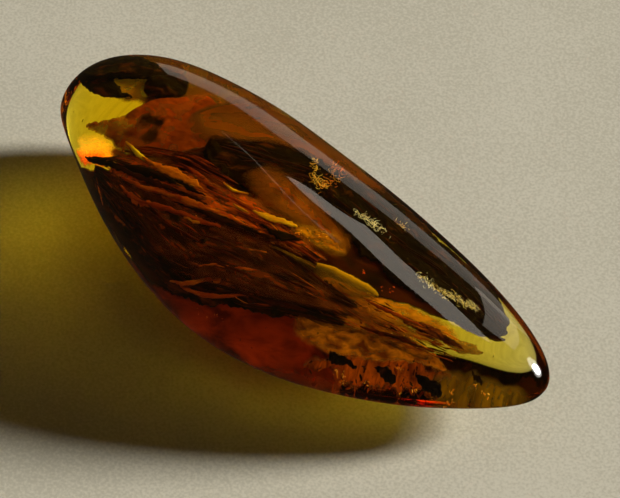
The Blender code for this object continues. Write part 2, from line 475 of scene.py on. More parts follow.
@dataclass(frozen=True)
class Glint:
    """The faces of tiny cracks that catch the light, red to gold to silver with their tone."""

    glow: float = 0.5

    def material(self) -> bpy.types.Material:
        """The glints' material: patchy metal, real shine on the metal and a painted glow in its colour for
        light that the dome gathers on it.

        Returns:
            The material.
        """
        graph = Graph("glint")
        speckle = graph.noise(graph.object_place(), 5.0, 2.0)
        patches = speckle.between(0.38, 0.62)
        colour = graph.ramp(
            graph.tone(),
            [
                (0.0, (0.85, 0.05, 0.01)),
                (0.25, (0.95, 0.22, 0.02)),
                (0.5, (1.0, 0.55, 0.06)),
                (0.75, (1.0, 0.80, 0.30)),
                (1.0, (0.95, 0.92, 0.85)),
            ],
        )
        # Emission on the metal patches is a painted glint.
        graph.surface(
            Base_Color=colour,
            Metallic=0.6 * patches,
            Roughness=0.25 + 0.3 * speckle,
            Emission_Color=graph.mix(patches, (0.0, 0.0, 0.0), colour),
            Emission_Strength=self.glow,
            Normal=graph.bump(speckle, 0.05),
        )
        return graph.material


@dataclass(frozen=True)
class PaintedGlow:
    """A painted glow on a crack, from yellow to red, standing for the light that the dome gathers on it.

    Attributes:
        name: the material's name.
        glow: how strongly its painted glow shines.
        heat: what is added to its tone, towards yellow.
        soft: how far its soft edge reaches in from the rim.
    """

    name: str = "painted_glow"
    glow: float = 0.9
    heat: float = 0.0
    soft: float = 0.75

    def material(self) -> bpy.types.Material:
        """The painted glow's material: yellow at its back edge, red at its front, dark in patches, all of
        it painted light.

        Returns:
            The material.
        """
        graph = Graph(self.name)
        streaks = graph.noise(graph.grain_place((0.45, 2.6, 1.0)), 2.2, 4.0, 1.2)
        colour = graph.ramp(
            graph.tone() + 0.9 * (streaks - 0.5) + self.heat,
            [
                (0.05, (0.10, 0.004, 0.001)),
                (0.25, (0.75, 0.03, 0.002)),
                (0.5, (1.0, 0.22, 0.006)),
                (0.75, (1.0, 0.45, 0.02)),
                (1.0, (0.9, 0.55, 0.04)),
            ],
        )
        # Base colour and emission alike paint the light gathered on the crack.
        graph.surface(
            Base_Color=colour,
            Roughness=0.5,
            Alpha=graph.rim().between(0.0, self.soft) * (0.35 + 0.65 * streaks.between(0.34, 0.58)),
            Emission_Color=colour,
            Emission_Strength=self.glow,
        )
        return graph.material


@dataclass(frozen=True)
class Film:
    """A thin film on an old flow surface, patchy, with soft edges and part see-through: stains on most of
    them, a painted glow on some and painted shade under the tip.

    Attributes:
        name: the material's name.
        light: its paler stains.
        dark: its darker stains.
        cover: how much it hides, from 0 to 1.
        patch: stains in a millimetre.
        stretch: how far the stains are drawn out along the flow.
        holes: how much of its cover its patches may lose.
        soft: how far its soft edge reaches in from the rim.
        edge: how softly its stains run into each other, from 0 to 0.5.
        twist: how far the stains are swirled.
        glow: how brightly its painted glow shines where the dome gathers the light on it.
    """

    name: str
    light: Colour
    dark: Colour
    cover: float = 0.6
    patch: float = 0.5
    stretch: float = 0.35
    holes: float = 0.55
    soft: float = 0.3
    edge: float = 0.2
    twist: float = 0.3
    glow: float = 0.0

    def material(self) -> bpy.types.Material:
        """The film's material: stains drawn out along the flow, gone in patches, with a painted glow in
        their colour by glow.

        Returns:
            The material.
        """
        graph = Graph(self.name)
        place = graph.grain_place((self.stretch, 1.0, 1.0))
        stains = graph.noise(place, self.patch, 6.0, self.twist)
        gone = graph.noise(place, self.patch * 1.7, 5.0, self.twist).between(0.40, 0.66)
        colour = graph.mix(stains.between(0.5 - self.edge, 0.5 + self.edge), self.dark, self.light)
        # Emission in the stains' colour is a painted glow for light that the dome gathers on the film.
        graph.surface(
            Base_Color=colour,
            Emission_Color=colour,
            Emission_Strength=self.glow,
            Roughness=0.55,
            Alpha=self.cover * graph.rim().between(0.0, self.soft) * (1.0 - self.holes * gone),
            Normal=graph.bump(stains, 0.12),
        )
        return graph.material


@cache
def material_of(finish: object) -> bpy.types.Material:
    """A finish's material, made once."""
    return finish.material()


@dataclass(frozen=True)
class Table:
    """Pale honed stone with a faint grain."""

    light: Colour = (0.71, 0.665, 0.545)
    dark: Colour = (0.58, 0.54, 0.43)

    def material(self) -> bpy.types.Material:
        """The table top's material: fine grain on soft clouds.

        Returns:
            The material.
        """
        graph = Graph("table")
        grain = graph.noise(graph.object_place(), 4.0, 3.0)
        clouds = graph.noise(graph.object_place(), 0.05, 3.0)
        graph.surface(
            Base_Color=graph.mix((grain * 0.7 + clouds * 0.3).between(0.36, 0.64), self.dark, self.light),
            Roughness=0.6,
        )
        return graph.material


# Surfaces


def ripples(places: np.ndarray, wavelength: float, seed: int, waves: int = 14) -> np.ndarray:
    """A smooth value that wanders about 0: the sum of plane waves in seeded directions.

    Args:
        places: points, the last axis their coordinates.
        wavelength: the waves' mean length.
        seed: fixes the directions.
        waves: how many there are.

    Returns:
        One value for each point, mostly between -1.5 and 1.5.
    """
    rng = np.random.default_rng(seed)
    ways = rng.normal(size=(waves, places.shape[-1]))
    ways /= np.linalg.norm(ways, axis=1, keepdims=True)
    ways *= 2.0 * np.pi / (wavelength * rng.uniform(0.7, 1.5, (waves, 1)))
    starts = rng.uniform(0.0, 2.0 * np.pi, waves)
    return np.sin(places @ ways.T + starts).sum(-1) / math.sqrt(waves / 2.0)


def smooth_through(knots: np.ndarray, values: np.ndarray, at: np.ndarray) -> np.ndarray:
    """A smooth curve through values at knots, read at the places asked for: cubic between two knots.

    Args:
        knots: rising places.
        values: the values there.
        at: the places asked for.

    Returns:
        The curve's values at those places.
    """
    slopes = np.gradient(values, knots)
    index = np.clip(np.searchsorted(knots, at) - 1, 0, len(knots) - 2)
    step = knots[index + 1] - knots[index]
    t = (at - knots[index]) / step
    before, after = values[index], values[index + 1]
    return (
        before * (1 + 2 * t) * (1 - t) ** 2
        + slopes[index] * step * t * (1 - t) ** 2
        + after * t * t * (3 - 2 * t)
        + slopes[index + 1] * step * t * t * (t - 1)
    )


@dataclass
class Body:
    """Closed surfaces before they are a mesh, in millimetres.

    Attributes:
        points: the corners.
        quads: four corners for each four-sided face.
        triangles: three corners for each three-sided face.
        grain: each corner's place along and across the grain.
        tone: each corner's tone, from 0 to 1.
        rim: 0 at the corners on a flat piece's rim and 1 in its middle.
    """

    points: np.ndarray
    quads: np.ndarray
    triangles: np.ndarray
    grain: np.ndarray
    tone: np.ndarray
    rim: np.ndarray

    @classmethod
    def from_rings(
        cls,
        rings: np.ndarray,
        ends: np.ndarray,
        grain: np.ndarray | None = None,
        tone: np.ndarray | float = 0.5,
        rim: np.ndarray | float = 1.0,
    ) -> "Body":
        """Bodies, each with a skin through its rings and a point at each end.

        Args:
            rings: (bodies, rows, around, 3) points, turning from the side to the face and so about
                the way along.
            ends: (bodies, 2, 3) points.
            grain: grain places like rings, or None for the points themselves.
            tone: tones that fit (bodies, rows, around).
            rim: rim values that fit the same.

        Returns:
            The bodies as one, each closed, its faces outwards.
        """
        count, rows, around = rings.shape[:3]
        start = np.arange(count)[:, None, None] * (rows * around + 2)
        here = start + np.arange(rows - 1)[:, None] * around
        j = np.arange(around)
        k = (j + 1) % around
        quads = np.stack(np.broadcast_arrays(here + j, here + k, here + around + k, here + around + j), -1)
        start = start[:, 0]
        first, last, far = start + rows * around, start + rows * around + 1, start + (rows - 1) * around
        caps = [
            np.stack(np.broadcast_arrays(first, start + k, start + j), -1),
            np.stack(np.broadcast_arrays(last, far + j, far + k), -1),
        ]

        def flat(skin: np.ndarray, tips: np.ndarray) -> np.ndarray:
            """Values on the rings and at the ends, in the order of the corners.

            Args:
                skin: the rings' values.
                tips: the ends' values.

            Returns:
                One row for each corner.
            """
            width = skin.shape[3] if skin.ndim == 4 else 1
            parts = [skin.reshape(count, -1, width), tips.reshape(count, 2, width)]
            return np.concatenate(parts, 1).reshape(-1, width)

        grain = rings if grain is None else np.broadcast_to(grain, rings.shape)
        tone, rim = (np.broadcast_to(value, rings.shape[:3]) for value in (tone, rim))
        return cls(
            flat(rings, ends),
            quads.reshape(-1, 4),
            np.concatenate(caps).reshape(-1, 3),
            flat(grain, grain[:, [0, -1]].mean(2)),
            flat(tone, tone[:, [0, -1]].mean(2))[:, 0],
            flat(rim, rim[:, [0, -1]].mean(2))[:, 0],
        )

    @classmethod
    def joined(cls, bodies: "list[Body]") -> "Body":
        """Several bodies as one, each closed in itself.

        Args:
            bodies: the bodies.

        Returns:
            The one that holds them all.
        """
        starts = np.cumsum([0] + [len(b.points) for b in bodies[:-1]])
        return cls(
            np.concatenate([b.points for b in bodies]),
            np.concatenate([b.quads + s for b, s in zip(bodies, starts)]),
            np.concatenate([b.triangles + s for b, s in zip(bodies, starts)]),
            *(np.concatenate([getattr(b, name) for b in bodies]) for name in ("grain", "tone", "rim")),
        )

    def build(self, name: str, finish: object) -> bpy.types.Object:
        """A smooth-shaded object that rides with the stone.

        Args:
            name: the object's name.
            finish: what gives its material.

        Returns:
            The object.
        """
        mesh = bpy.data.meshes.new(name)
        faces = self.quads.tolist() + self.triangles.tolist()
        mesh.from_pydata((self.points * MM).tolist(), [], faces)
        grain = mesh.attributes.new("grain", "FLOAT_VECTOR", "POINT")
        grain.data.foreach_set("vector", self.grain.ravel())
        for kind, values in (("tone", self.tone), ("rim", self.rim)):
            mesh.attributes.new(kind, "FLOAT", "POINT").data.foreach_set("value", values)
        mesh.shade_smooth()
        mesh.materials.append(material_of(finish))
        obj = bpy.data.objects.new(name, mesh)
        bpy.context.scene.collection.objects.link(obj)
        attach(obj, BODY)
        log.info("%s: %d faces", name, len(faces))
        return obj


OUTLINE_SAMPLES = 2001


@dataclass
class Stone:
    """The whole polished stone, and the flow surface inside it that the scraps lie on.

    Attributes:
        length: of the straight stone, before its tip is lowered.
        back_bulge: how far the back edge stands out.
        back_taper: how the back edge's bulge changes towards the tip.
        back_fullness: how much fuller the back edge is at both ends.
        front_bulge: how far the front edge stands out.
        front_lean: how the front edge's bulge changes towards the tip.
        front_fullness: how much fuller the front edge is at both ends.
        front_roundness: the power that rounds the front edge's ends.
        crown_height: the height above the girdle.
        keel_depth: the depth below the girdle before the flat is cut.
        keel_kept: the share of that depth that the flat leaves.
        crown_lean: how the height changes towards the tip.
        tip_shift: how far the tip is moved.
        shift_power: how much of that the rest of the stone follows.
        flow_rise: how high the flow surface domes over the girdle.
        base_softness: how softly the flat runs into the sides.
        undulation: how far hand polishing leaves the skin uneven.
        undulation_length: how long its waves are.
        undulation_seed: fixes them.
        lowest: how low anything sealed inside may lie.
        inner_reach: how near the ends it may lie, as a share of the length.
        rows: rings along the skin.
        around: points in a ring.
    """

    length: float = 50.0
    back_bulge: float = 8.3
    back_taper: float = -0.27
    back_fullness: float = 0.14
    front_bulge: float = 11.8
    front_lean: float = 0.12
    front_fullness: float = -0.57
    front_roundness: float = 0.84
    crown_height: float = 8.8
    keel_depth: float = 6.0
    keel_kept: float = 0.88
    crown_lean: float = -0.45
    tip_shift: Point = (-0.77, 1.03, -1.53)
    shift_power: float = 3.0
    flow_rise: float = 3.6
    base_softness: float = 0.16
    undulation: float = 0.035
    undulation_length: float = 9.0
    undulation_seed: int = 3
    lowest: float = 0.35
    inner_reach: float = 0.49
    rows: int = 260
    around: int = 200

    def __post_init__(self) -> None:
        """Works out the girdle's height and how far the outline's box is off the long axis."""
        self.girdle = self.keel_depth * self.keel_kept
        self.middle = 0.0
        x = np.linspace(-self.length / 2, self.length / 2, OUTLINE_SAMPLES)
        front, back, _ = self.edges(x)
        self.middle = float(front.min() + back.max()) / 2
        sway = self.share(x) * self.tip_shift[1] - self.middle
        middle = float((front + sway).min() + (back + sway).max()) / 2
        self.frame_shift = np.array((-self.tip_shift[0] / 2, -middle, 0.0))

    def share(self, x: np.ndarray) -> np.ndarray:
        """The share of the tip's shift at x: the way along the stone, to a power."""
        return np.clip((1.0 + 2.0 * np.asarray(x) / self.length) / 2.0, 0.0, 1.0) ** self.shift_power

    def settle(self, points: np.ndarray) -> np.ndarray:
        """Points of the straight stone where they lie once its tip is lowered and its box is centred."""
        return points + self.share(points[..., 0])[..., None] * np.array(self.tip_shift) + self.frame_shift

    def sealed(self, points: np.ndarray, depth: float = 0.955) -> np.ndarray:
        """Points of the straight stone drawn inside its skin, and then settled.

        Args:
            points: the points.
            depth: how far out of a cross-section they may lie, from 0 at its middle to 1 on the skin.

        Returns:
            The points' final places.
        """
        x, y, z = np.moveaxis(points, -1, 0)
        x = np.clip(x, -self.inner_reach * self.length, self.inner_reach * self.length)
        front, back, height = self.edges(x)
        middle, half, up = (front + back) / 2, (back - front) / 2, z - self.girdle
        reach = np.where(up > 0, self.crown_height, self.keel_depth) * height
        keep = np.minimum(1.0, depth / np.maximum(np.hypot((y - middle) / half, up / reach), 1e-6))
        final = self.settle(np.stack([x, middle + (y - middle) * keep, self.girdle + up * keep], -1))
        final[..., 2] = np.maximum(final[..., 2], self.lowest)
        return final

    def edges(self, x: np.ndarray) -> tuple[np.ndarray, np.ndarray, np.ndarray]:
        """The straight outline's front and back edge at x, and how high the stone is there.

        With c the way along from -1 to 1 and s the root of 1 - c squared, the back edge goes as
        s (1 + taper c + fullness c squared), the front edge as s to a power times the like, and
        the height as s (1 + lean c).

        Args:
            x: places along the stone.

        Returns:
            The front edge, the back edge and the height's share.
        """
        c = np.clip(2.0 * x / self.length, -1.0, 1.0)
        s = np.sqrt(1.0 - c * c)
        back = self.back_bulge * s * (1.0 + self.back_taper * c + self.back_fullness * c * c)
        front = 1.0 + self.front_lean * c + self.front_fullness * c * c
        front = -self.front_bulge * s**self.front_roundness * front
        return front - self.middle, back - self.middle, s * (1.0 + self.crown_lean * c)

    def flow(self, x: np.ndarray, y: np.ndarray) -> np.ndarray:
        """The height of the flow surface: the girdle's, plus a rise that falls to the sides as a parabola.

        Args:
            x: places along the stone.
            y: places across it.

        Returns:
            The heights.
        """
        front, back, height = self.edges(x)
        half = np.maximum((back - front) / 2, 0.01)
        across = np.clip((y - (front + back) / 2) / half, -1.0, 1.0)
        return self.girdle + self.flow_rise * height * (1.0 - across * across)

    def body(self) -> Body:
        """The skin: half an ellipse above the girdle and half of a flatter one below, cut by a soft flat.

        The flat is the smooth larger of the height and 0. A slight undulation moves each point to
        and from the axis, as hand polishing leaves it.

        Returns:
            The body.
        """
        turn = np.linspace(0.0, np.pi, self.rows + 1)[1:-1, None]
        angle = np.linspace(0.0, 2.0 * np.pi, self.around, endpoint=False)[None]
        c = -np.cos(turn)
        x = c * self.length / 2
        front, back, height = self.edges(x)
        reach = np.where(np.sin(angle) > 0, self.crown_height, self.keel_depth) * height
        y = (front + back) / 2 + (back - front) / 2 * np.cos(angle)
        z = self.girdle + reach * np.sin(angle)
        x = np.broadcast_to(x, y.shape)
        skin = np.stack([x, y, z], -1)
        away = np.stack([np.zeros_like(y), np.cos(angle) * height, np.sin(angle) * height], -1)
        waves = ripples(skin, self.undulation_length, self.undulation_seed)[..., None]
        skin = self.settle(skin + away * waves * self.undulation)
        z = skin[..., 2]
        skin[..., 2] = (z + np.sqrt(z * z + self.base_softness**2)) / 2
        ends = np.array([(side * self.length / 2, -self.middle, self.girdle) for side in (-1, 1)])
        return Body.from_rings(skin[None], self.settle(ends)[None])

    def build(self) -> None:
        """Makes the clear piece that stands for both halves of the parted stone."""
        obj = self.body().build("amber_stone", ClearAmber())
        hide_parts("amber_upper", "amber_lower")


# The ripples that fray an edge: their length and share
FRAY_WAVES = ((3.0, 0.6), (0.9, 0.35), (0.34, 0.22))
# The ripples that roughen a face: their length, their stretch along X and their share
FACE_WAVES = ((1.1, 0.35, 1.0), (0.42, 0.5, 0.6))
END_BLUNTNESS = 0.35
GROOVE_DEPTH = 0.3
GROOVE_SWAY = 0.15
LEAST_HALF_WIDTH = 0.05
FACES_APART = 3.0


def frayed(x: np.ndarray, seed: int) -> np.ndarray:
    """How far a ragged edge wanders: ripples of three lengths, each with its share.

    Args:
        x: a column of places along the edge.
        seed: fixes the ripples.

    Returns:
        A column of offsets, mostly between -1.5 and 1.5.
    """
    places = np.concatenate([x, x * 0.0], 1)
    return sum(ripples(places, length, seed)[:, None] * share for length, share in FRAY_WAVES)


@dataclass
class Scrap:
    """A flat scrap on the flow surface: its edges along X with a lens between them.

    Attributes:
        stations: (x, front edge, back edge) along it.
        thickness: the middle's.
        ragged: how far its edges wander.
        ridges: the lengthwise ridges on its faces.
        roll: how much its back edge rises for each unit of width.
        lift: how far it lies above the flow surface.
        relief: how rough its faces are, as a share of its thickness.
        seed: fixes its roughness.
        tone: its tone, from 0 to 1.
        slope: how much its tone rises from the middle to the back edge.
        rows: rings along it.
        around: points in a ring.
    """

    stations: Stations
    thickness: float
    ragged: float = 0.1
    ridges: int = 0
    roll: float = 0.0
    lift: float = 0.0
    relief: float = 0.2
    seed: int = 1
    tone: float = 0.5
    slope: float = 0.0
    rows: int = 220
    around: int = 48

    def body(self, stone: Stone) -> Body:
        """The scrap's skin.

        Along it the width and thickness go as the root of a sine, so that its ends are blunt. Across
        it the thickness goes as a sine. Ridges take a share off the thickness, as a cosine across
        it, and ripples roughen its faces and fray its edges. Its tone rises across it by slope.

        Args:
            stone: the stone that it lies in.

        Returns:
            The body.
        """
        knots, front, back = np.array(self.stations, float).T
        turn = np.linspace(0.0, np.pi, self.rows + 1)[1:-1, None]
        angle = np.linspace(0.0, 2.0 * np.pi, self.around, endpoint=False)[None]
        low, high = knots[0], knots[-1]
        x = (low + high) / 2 - np.cos(turn) * (high - low) / 2
        near = smooth_through(knots, front, x) - self.ragged * frayed(x, self.seed)
        far = smooth_through(knots, back, x) + self.ragged * frayed(x, self.seed + 1)
        full = np.sin(turn) ** END_BLUNTNESS
        half = np.maximum((far - near) / 2, LEAST_HALF_WIDTH) * full
        offset = half * np.cos(angle)
        y = (near + far) / 2 + offset
        x = np.broadcast_to(x, y.shape)
        lens = np.sin(angle) * self.thickness / 2 * full
        if self.ridges:
            across = offset / half + GROOVE_SWAY * np.sin(x)
            groove = (1.0 + np.cos(np.pi * self.ridges * across)) / 2
            lens = lens * (1.0 - GROOVE_DEPTH * groove)
        side = np.sign(np.sin(angle)) * np.ones_like(x)
        grain = np.stack([x, offset, side * FACES_APART + self.seed], -1)
        rough = sum(
            share * ripples(grain * (stretch, 1.0, 1.0), length, seed)
            for seed, (length, stretch, share) in enumerate(FACE_WAVES, self.seed + 7)
        )
        lens = lens * (1.0 + self.relief * rough)
        z = stone.flow(x, y) + self.lift + self.roll * offset + lens
        x_ends, y_ends = knots[[0, -1]], (front[[0, -1]] + back[[0, -1]]) / 2
        ends = np.stack([x_ends, y_ends, stone.flow(x_ends, y_ends) + self.lift], -1)
        rim = (1.0 - np.abs(np.cos(angle))) * np.sin(turn)
        tone = self.tone + self.slope * np.cos(angle) * np.ones_like(turn)
        rings, ends = stone.sealed(np.stack([x, y, z], -1)), stone.sealed(ends)
        return Body.from_rings(rings[None], ends[None], grain[None], tone[None], rim[None])


@dataclass(frozen=True)
class Strand:
    """A thin scrap about a centre line, its width going to nothing at both ends.

    Attributes:
        line: (x, y) points of its middle.
        width: its greatest width.
        tone: its tone, from 0 to 1.
        lift: how far it lies above the flow surface.
        thickness: the middle's.
        roll: how much its back edge rises for each unit of width.
    """

    line: Line
    width: float
    tone: float
    lift: float = 0.0
    thickness: float = 0.25
    roll: float = 0.0

    def scrap(self, seed: int) -> Scrap:
        """The strand as a scrap, whose widths follow a sine without its first and last twelfth.

        Args:
            seed: fixes its roughness.

        Returns:
            The scrap.
        """
        widths = self.width * np.sin(np.pi * np.linspace(0.08, 0.92, len(self.line)))
        return Scrap(
            tuple((x, y - width / 2, y + width / 2) for (x, y), width in zip(self.line, widths)),
            self.thickness,
            ragged=min(0.1, self.width * 0.2),
            roll=self.roll,
            lift=self.lift,
            relief=0.25,
            seed=seed,
            tone=self.tone,
            rows=90,
            around=12,
        )


@dataclass(frozen=True)
class Sheet:
    """A thin bed or film along the flow surface, with ragged edges.

    Attributes:
        name: the piece's name.
        stations: (x, front edge, back edge) along it.
        finish: what gives its material.
        lift: how far it lies above the flow surface.
        thickness: the middle's.
        roll: how much its back edge rises for each unit of width.
        slope: how much its tone rises from the middle to the back edge.
    """

    name: str
    stations: Stations
    finish: Film | PaintedGlow
    lift: float
    thickness: float
    roll: float = 0.0
    slope: float = 0.0

    def scrap(self, seed: int) -> Scrap:
        """The sheet as a scrap.

        Args:
            seed: fixes its roughness.

        Returns:
            The scrap.
        """
        return Scrap(
            self.stations,
            self.thickness,
            ragged=0.12,
            roll=self.roll,
            lift=self.lift,
            relief=0.3,
            seed=seed,
            slope=self.slope,
            rows=160,
        )


GRAIN_APART = 7.3


@dataclass
class Threads:
    """Many thin closed threads or flakes, each along its own path.

    Attributes:
        paths: (threads, steps, 3) points of the straight stone.
        width: half widths that fit (threads, steps).
        thickness: half thicknesses that fit the same.
        tone: tones that fit the same.
        face: the ways that their flat sides look, which fit paths.
        around: points in a ring.
    """

    paths: np.ndarray
    width: np.ndarray
    thickness: np.ndarray
    tone: np.ndarray
    face: np.ndarray
    around: int = 6

    def body(self, stone: Stone) -> Body:
        """The threads' skins: at each step of a path an ellipse across it, and a point at each end.

        Args:
            stone: the stone that they lie in.

        Returns:
            The body.
        """
        along = np.gradient(self.paths, axis=1)
        along /= np.linalg.norm(along, axis=-1, keepdims=True) + 1e-9
        side = np.cross(np.broadcast_to(self.face, self.paths.shape), along)
        side /= np.linalg.norm(side, axis=-1, keepdims=True) + 1e-9
        face = np.cross(along, side)
        angle = np.linspace(0.0, 2.0 * np.pi, self.around, endpoint=False)[:, None]
        shape = self.paths.shape[:2]
        given = (self.width, self.thickness, self.tone)
        width, thickness, tone = (np.broadcast_to(value, shape)[..., None] for value in given)
        across = width[..., None] * side[:, :, None] * np.cos(angle)
        upwards = thickness[..., None] * face[:, :, None] * np.sin(angle)
        rings = self.paths[:, :, None] + across + upwards
        way = np.broadcast_to(self.paths[..., :1], shape + (self.around,))
        turn = width * np.cos(angle[:, 0])
        number = np.broadcast_to(np.arange(shape[0])[:, None, None] * GRAIN_APART, way.shape)
        grain = np.stack([way, turn, number], -1)
        inner = slice(1, -1)
        ends = stone.sealed(self.paths[:, [0, -1]])
        return Body.from_rings(stone.sealed(rings[:, inner]), ends, grain[:, inner], tone[:, inner])


def taper(steps: int, bluntness: float = 0.7) -> np.ndarray:
    """Width shares for the steps of a path: a sine to the power of bluntness."""
    return np.sin(np.pi * np.linspace(0.0, 1.0, steps)) ** bluntness + 0.02


BARK_STRIP: Stations = (
    (-9.3, 1.8, 2.8), (-8.3, 0.5, 3.1), (-5.6, 0.0, 4.2), (-3.5, 0.5, 5.6), (-1.6, 2.4, 6.1),
    (0.5, 2.4, 6.3), (4.0, 1.5, 6.2), (7.6, 0.9, 6.0), (11.4, 0.6, 5.8), (15.0, 0.8, 5.3),
    (18.0, 1.3, 4.6), (19.7, 2.2, 3.4),
)
WOOD_FRAGMENT: Stations = (
    (-16.6, -3.6, -3.0), (-14.4, -4.6, -3.0), (-10.6, -6.3, -2.8), (-6.9, -7.8, -2.6),
    (-3.6, -8.6, -2.2), (-0.5, -8.0, -1.9), (2.5, -7.1, -2.5), (5.8, -5.8, -2.6), (9.5, -4.5, -2.5),
    (13.2, -3.4, -2.1), (16.2, -2.5, -2.1),
)
UPPER_SPLINTER = Strand(
    ((-17.8, -2.2), (-13.4, -1.7), (-9.7, -1.6), (-6.1, -1.3), (-2.5, -0.6), (1.4, 0.1), (5.0, 0.1)),
    width=0.8, tone=0.2, thickness=0.7, roll=0.2,
)
TIP_SPLINTER = Strand(
    ((12.5, -1.3), (14.3, -1.0), (16.4, -0.5), (18.4, -0.3)),
    width=0.7, tone=0.4, thickness=0.5,
)
CHIP_HEAD: Stations = (
    (-16.8, 3.8, 4.6), (-16.2, 3.35, 5.0), (-15.2, 3.1, 5.2), (-14.3, 3.2, 5.1), (-13.6, 3.7, 4.5),
)
CHIP_BAND: Stations = (
    (-23.0, 2.7, 3.4), (-21.8, 2.9, 4.2), (-20.5, 3.2, 4.7), (-19.2, 3.5, 5.0), (-18.0, 3.9, 5.2),
    (-17.0, 4.1, 5.3), (-15.8, 4.1, 5.2),
)
CHIP_TONGUE: Stations = (
    (-22.4, 2.8, 3.6), (-21.2, 2.65, 3.8), (-20.0, 2.5, 3.8), (-18.9, 2.45, 3.5), (-17.8, 2.5, 3.15),
    (-16.6, 2.7, 2.95),
)
LEAF_SHEET: Stations = (
    (-19.3, -0.1, 0.3), (-17.8, -0.15, 0.6), (-16.5, -0.45, 1.15), (-15.9, -0.55, 1.6),
    (-15.4, -0.7, 2.4), (-14.8, -0.85, 3.2), (-13.9, -1.05, 3.7), (-13.0, -1.1, 4.6),
    (-11.6, -0.75, 4.9), (-10.6, -0.5, 4.7), (-9.6, 0.2, 3.6), (-8.9, 0.8, 2.0),
)
BLADE: Stations = (
    (0.9, -2.9, -2.65), (2.8, -2.8, -2.45), (4.8, -2.65, -2.0), (5.9, -2.6, -1.6), (7.5, -2.6, -1.25),
    (9.1, -2.5, -0.95), (10.4, -1.8, -0.95),
)


# Along a crumb: the place as a share of its length, and the share of its full width there
CRUMB_PROFILE = ((-0.45, 0.25), (-0.18, 0.9), (0.135, 1.0), (0.45, 0.3))


@dataclass(frozen=True)
class Crumb:
    """A dark crumb: where its middle lies, its length and its width."""

    x: float
    y: float
    length: float
    width: float

    def scrap(self, seed: int) -> Scrap:
        """The crumb as a rough scrap.

        Args:
            seed: fixes its roughness.

        Returns:
            The scrap.
        """
        stations = tuple(
            (self.x + at * self.length, self.y - share * self.width / 3, self.y + share * self.width / 3)
            for at, share in CRUMB_PROFILE
        )
        return Scrap(stations, 0.7, ragged=0.2, relief=0.4, seed=seed, rows=60, around=28)


CRUMBS = (
    Crumb(11.0, -6.3, 2.6, 1.0), Crumb(14.4, -5.2, 2.0, 1.1),
    Crumb(17.6, -3.9, 2.8, 0.9), Crumb(20.3, -1.2, 1.3, 0.8),
)
CRUMB_SEED = 61


@dataclass
class Inclusions:
    """The scraps that the source has as solids, with their ragged edges and fibrous faces."""

    stone: Stone

    def place(self, node: str, scraps: list[Scrap], finish: object, slot: Slot) -> None:
        """Makes one piece of scraps that stands for the solid of this name.

        Args:
            node: the solid's name.
            scraps: the closed scraps that the piece is made of.
            finish: what gives its material.
            slot: its material slot, which is not used.
        """
        obj = Body.joined([scrap.body(self.stone) for scrap in scraps]).build(node + "_scrap", finish)
        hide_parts(node)

    def bark(self) -> None:
        """Makes the long strip and the hooked chip: a head, a band round it and a tongue."""
        strip = Scrap(BARK_STRIP, 1.0, 0.2, ridges=3, relief=0.12, seed=11, rows=480, around=72)
        self.place("bark_strip", [strip], Bark(), Slot.BARK)
        chip = [
            Scrap(CHIP_HEAD, 0.9, 0.07, relief=0.12, seed=23),
            Scrap(CHIP_BAND, 0.5, 0.1, relief=0.15, lift=0.1, seed=24),
            Scrap(CHIP_TONGUE, 0.3, 0.09, relief=0.15, lift=-0.1, seed=25),
        ]
        self.place("bark_chip", chip, Bark("bark_chip", brown_share=0.5), Slot.BARK)

    def leaf(self) -> None:
        """Makes the leaf scrap."""
        sheet = Scrap(LEAF_SHEET, 0.45, 0.13, roll=0.03, relief=0.15, seed=31, around=64)
        self.place("leaf_scrap", [sheet], Leaf(), Slot.LEAF)

    def wood(self) -> None:
        """Makes the fibre bundle and the three splinters, of which the golden one is a blade."""
        bundle = Scrap(WOOD_FRAGMENT, 1.8, 0.16, ridges=5, relief=0.14, seed=41, rows=400, around=110)
        self.place("wood_fragment", [bundle], Wood(fade=(4.5, 10.5)), Slot.WOOD)
        self.place("splinter_upper", [UPPER_SPLINTER.scrap(51)], Wood("dark_wood", -0.03), Slot.WOOD)
        blade = Scrap(
            BLADE, 0.3, 0.05, roll=0.15, lift=0.6, relief=0.1, seed=52, slope=0.4, rows=120, around=32
        )
        self.place("splinter_golden", [blade], Blade(), Slot.GOLDEN_WOOD)
        self.place("splinter_tip", [TIP_SPLINTER.scrap(53)], Wood("brown_wood", 0.10), Slot.WOOD)

    def crumbs(self) -> None:
        """Makes the dark crumbs."""
        for number, crumb in enumerate(CRUMBS):
            self.place(f"bark_crumb_{number + 1}", [crumb.scrap(CRUMB_SEED + number)], Bark(), Slot.BARK)


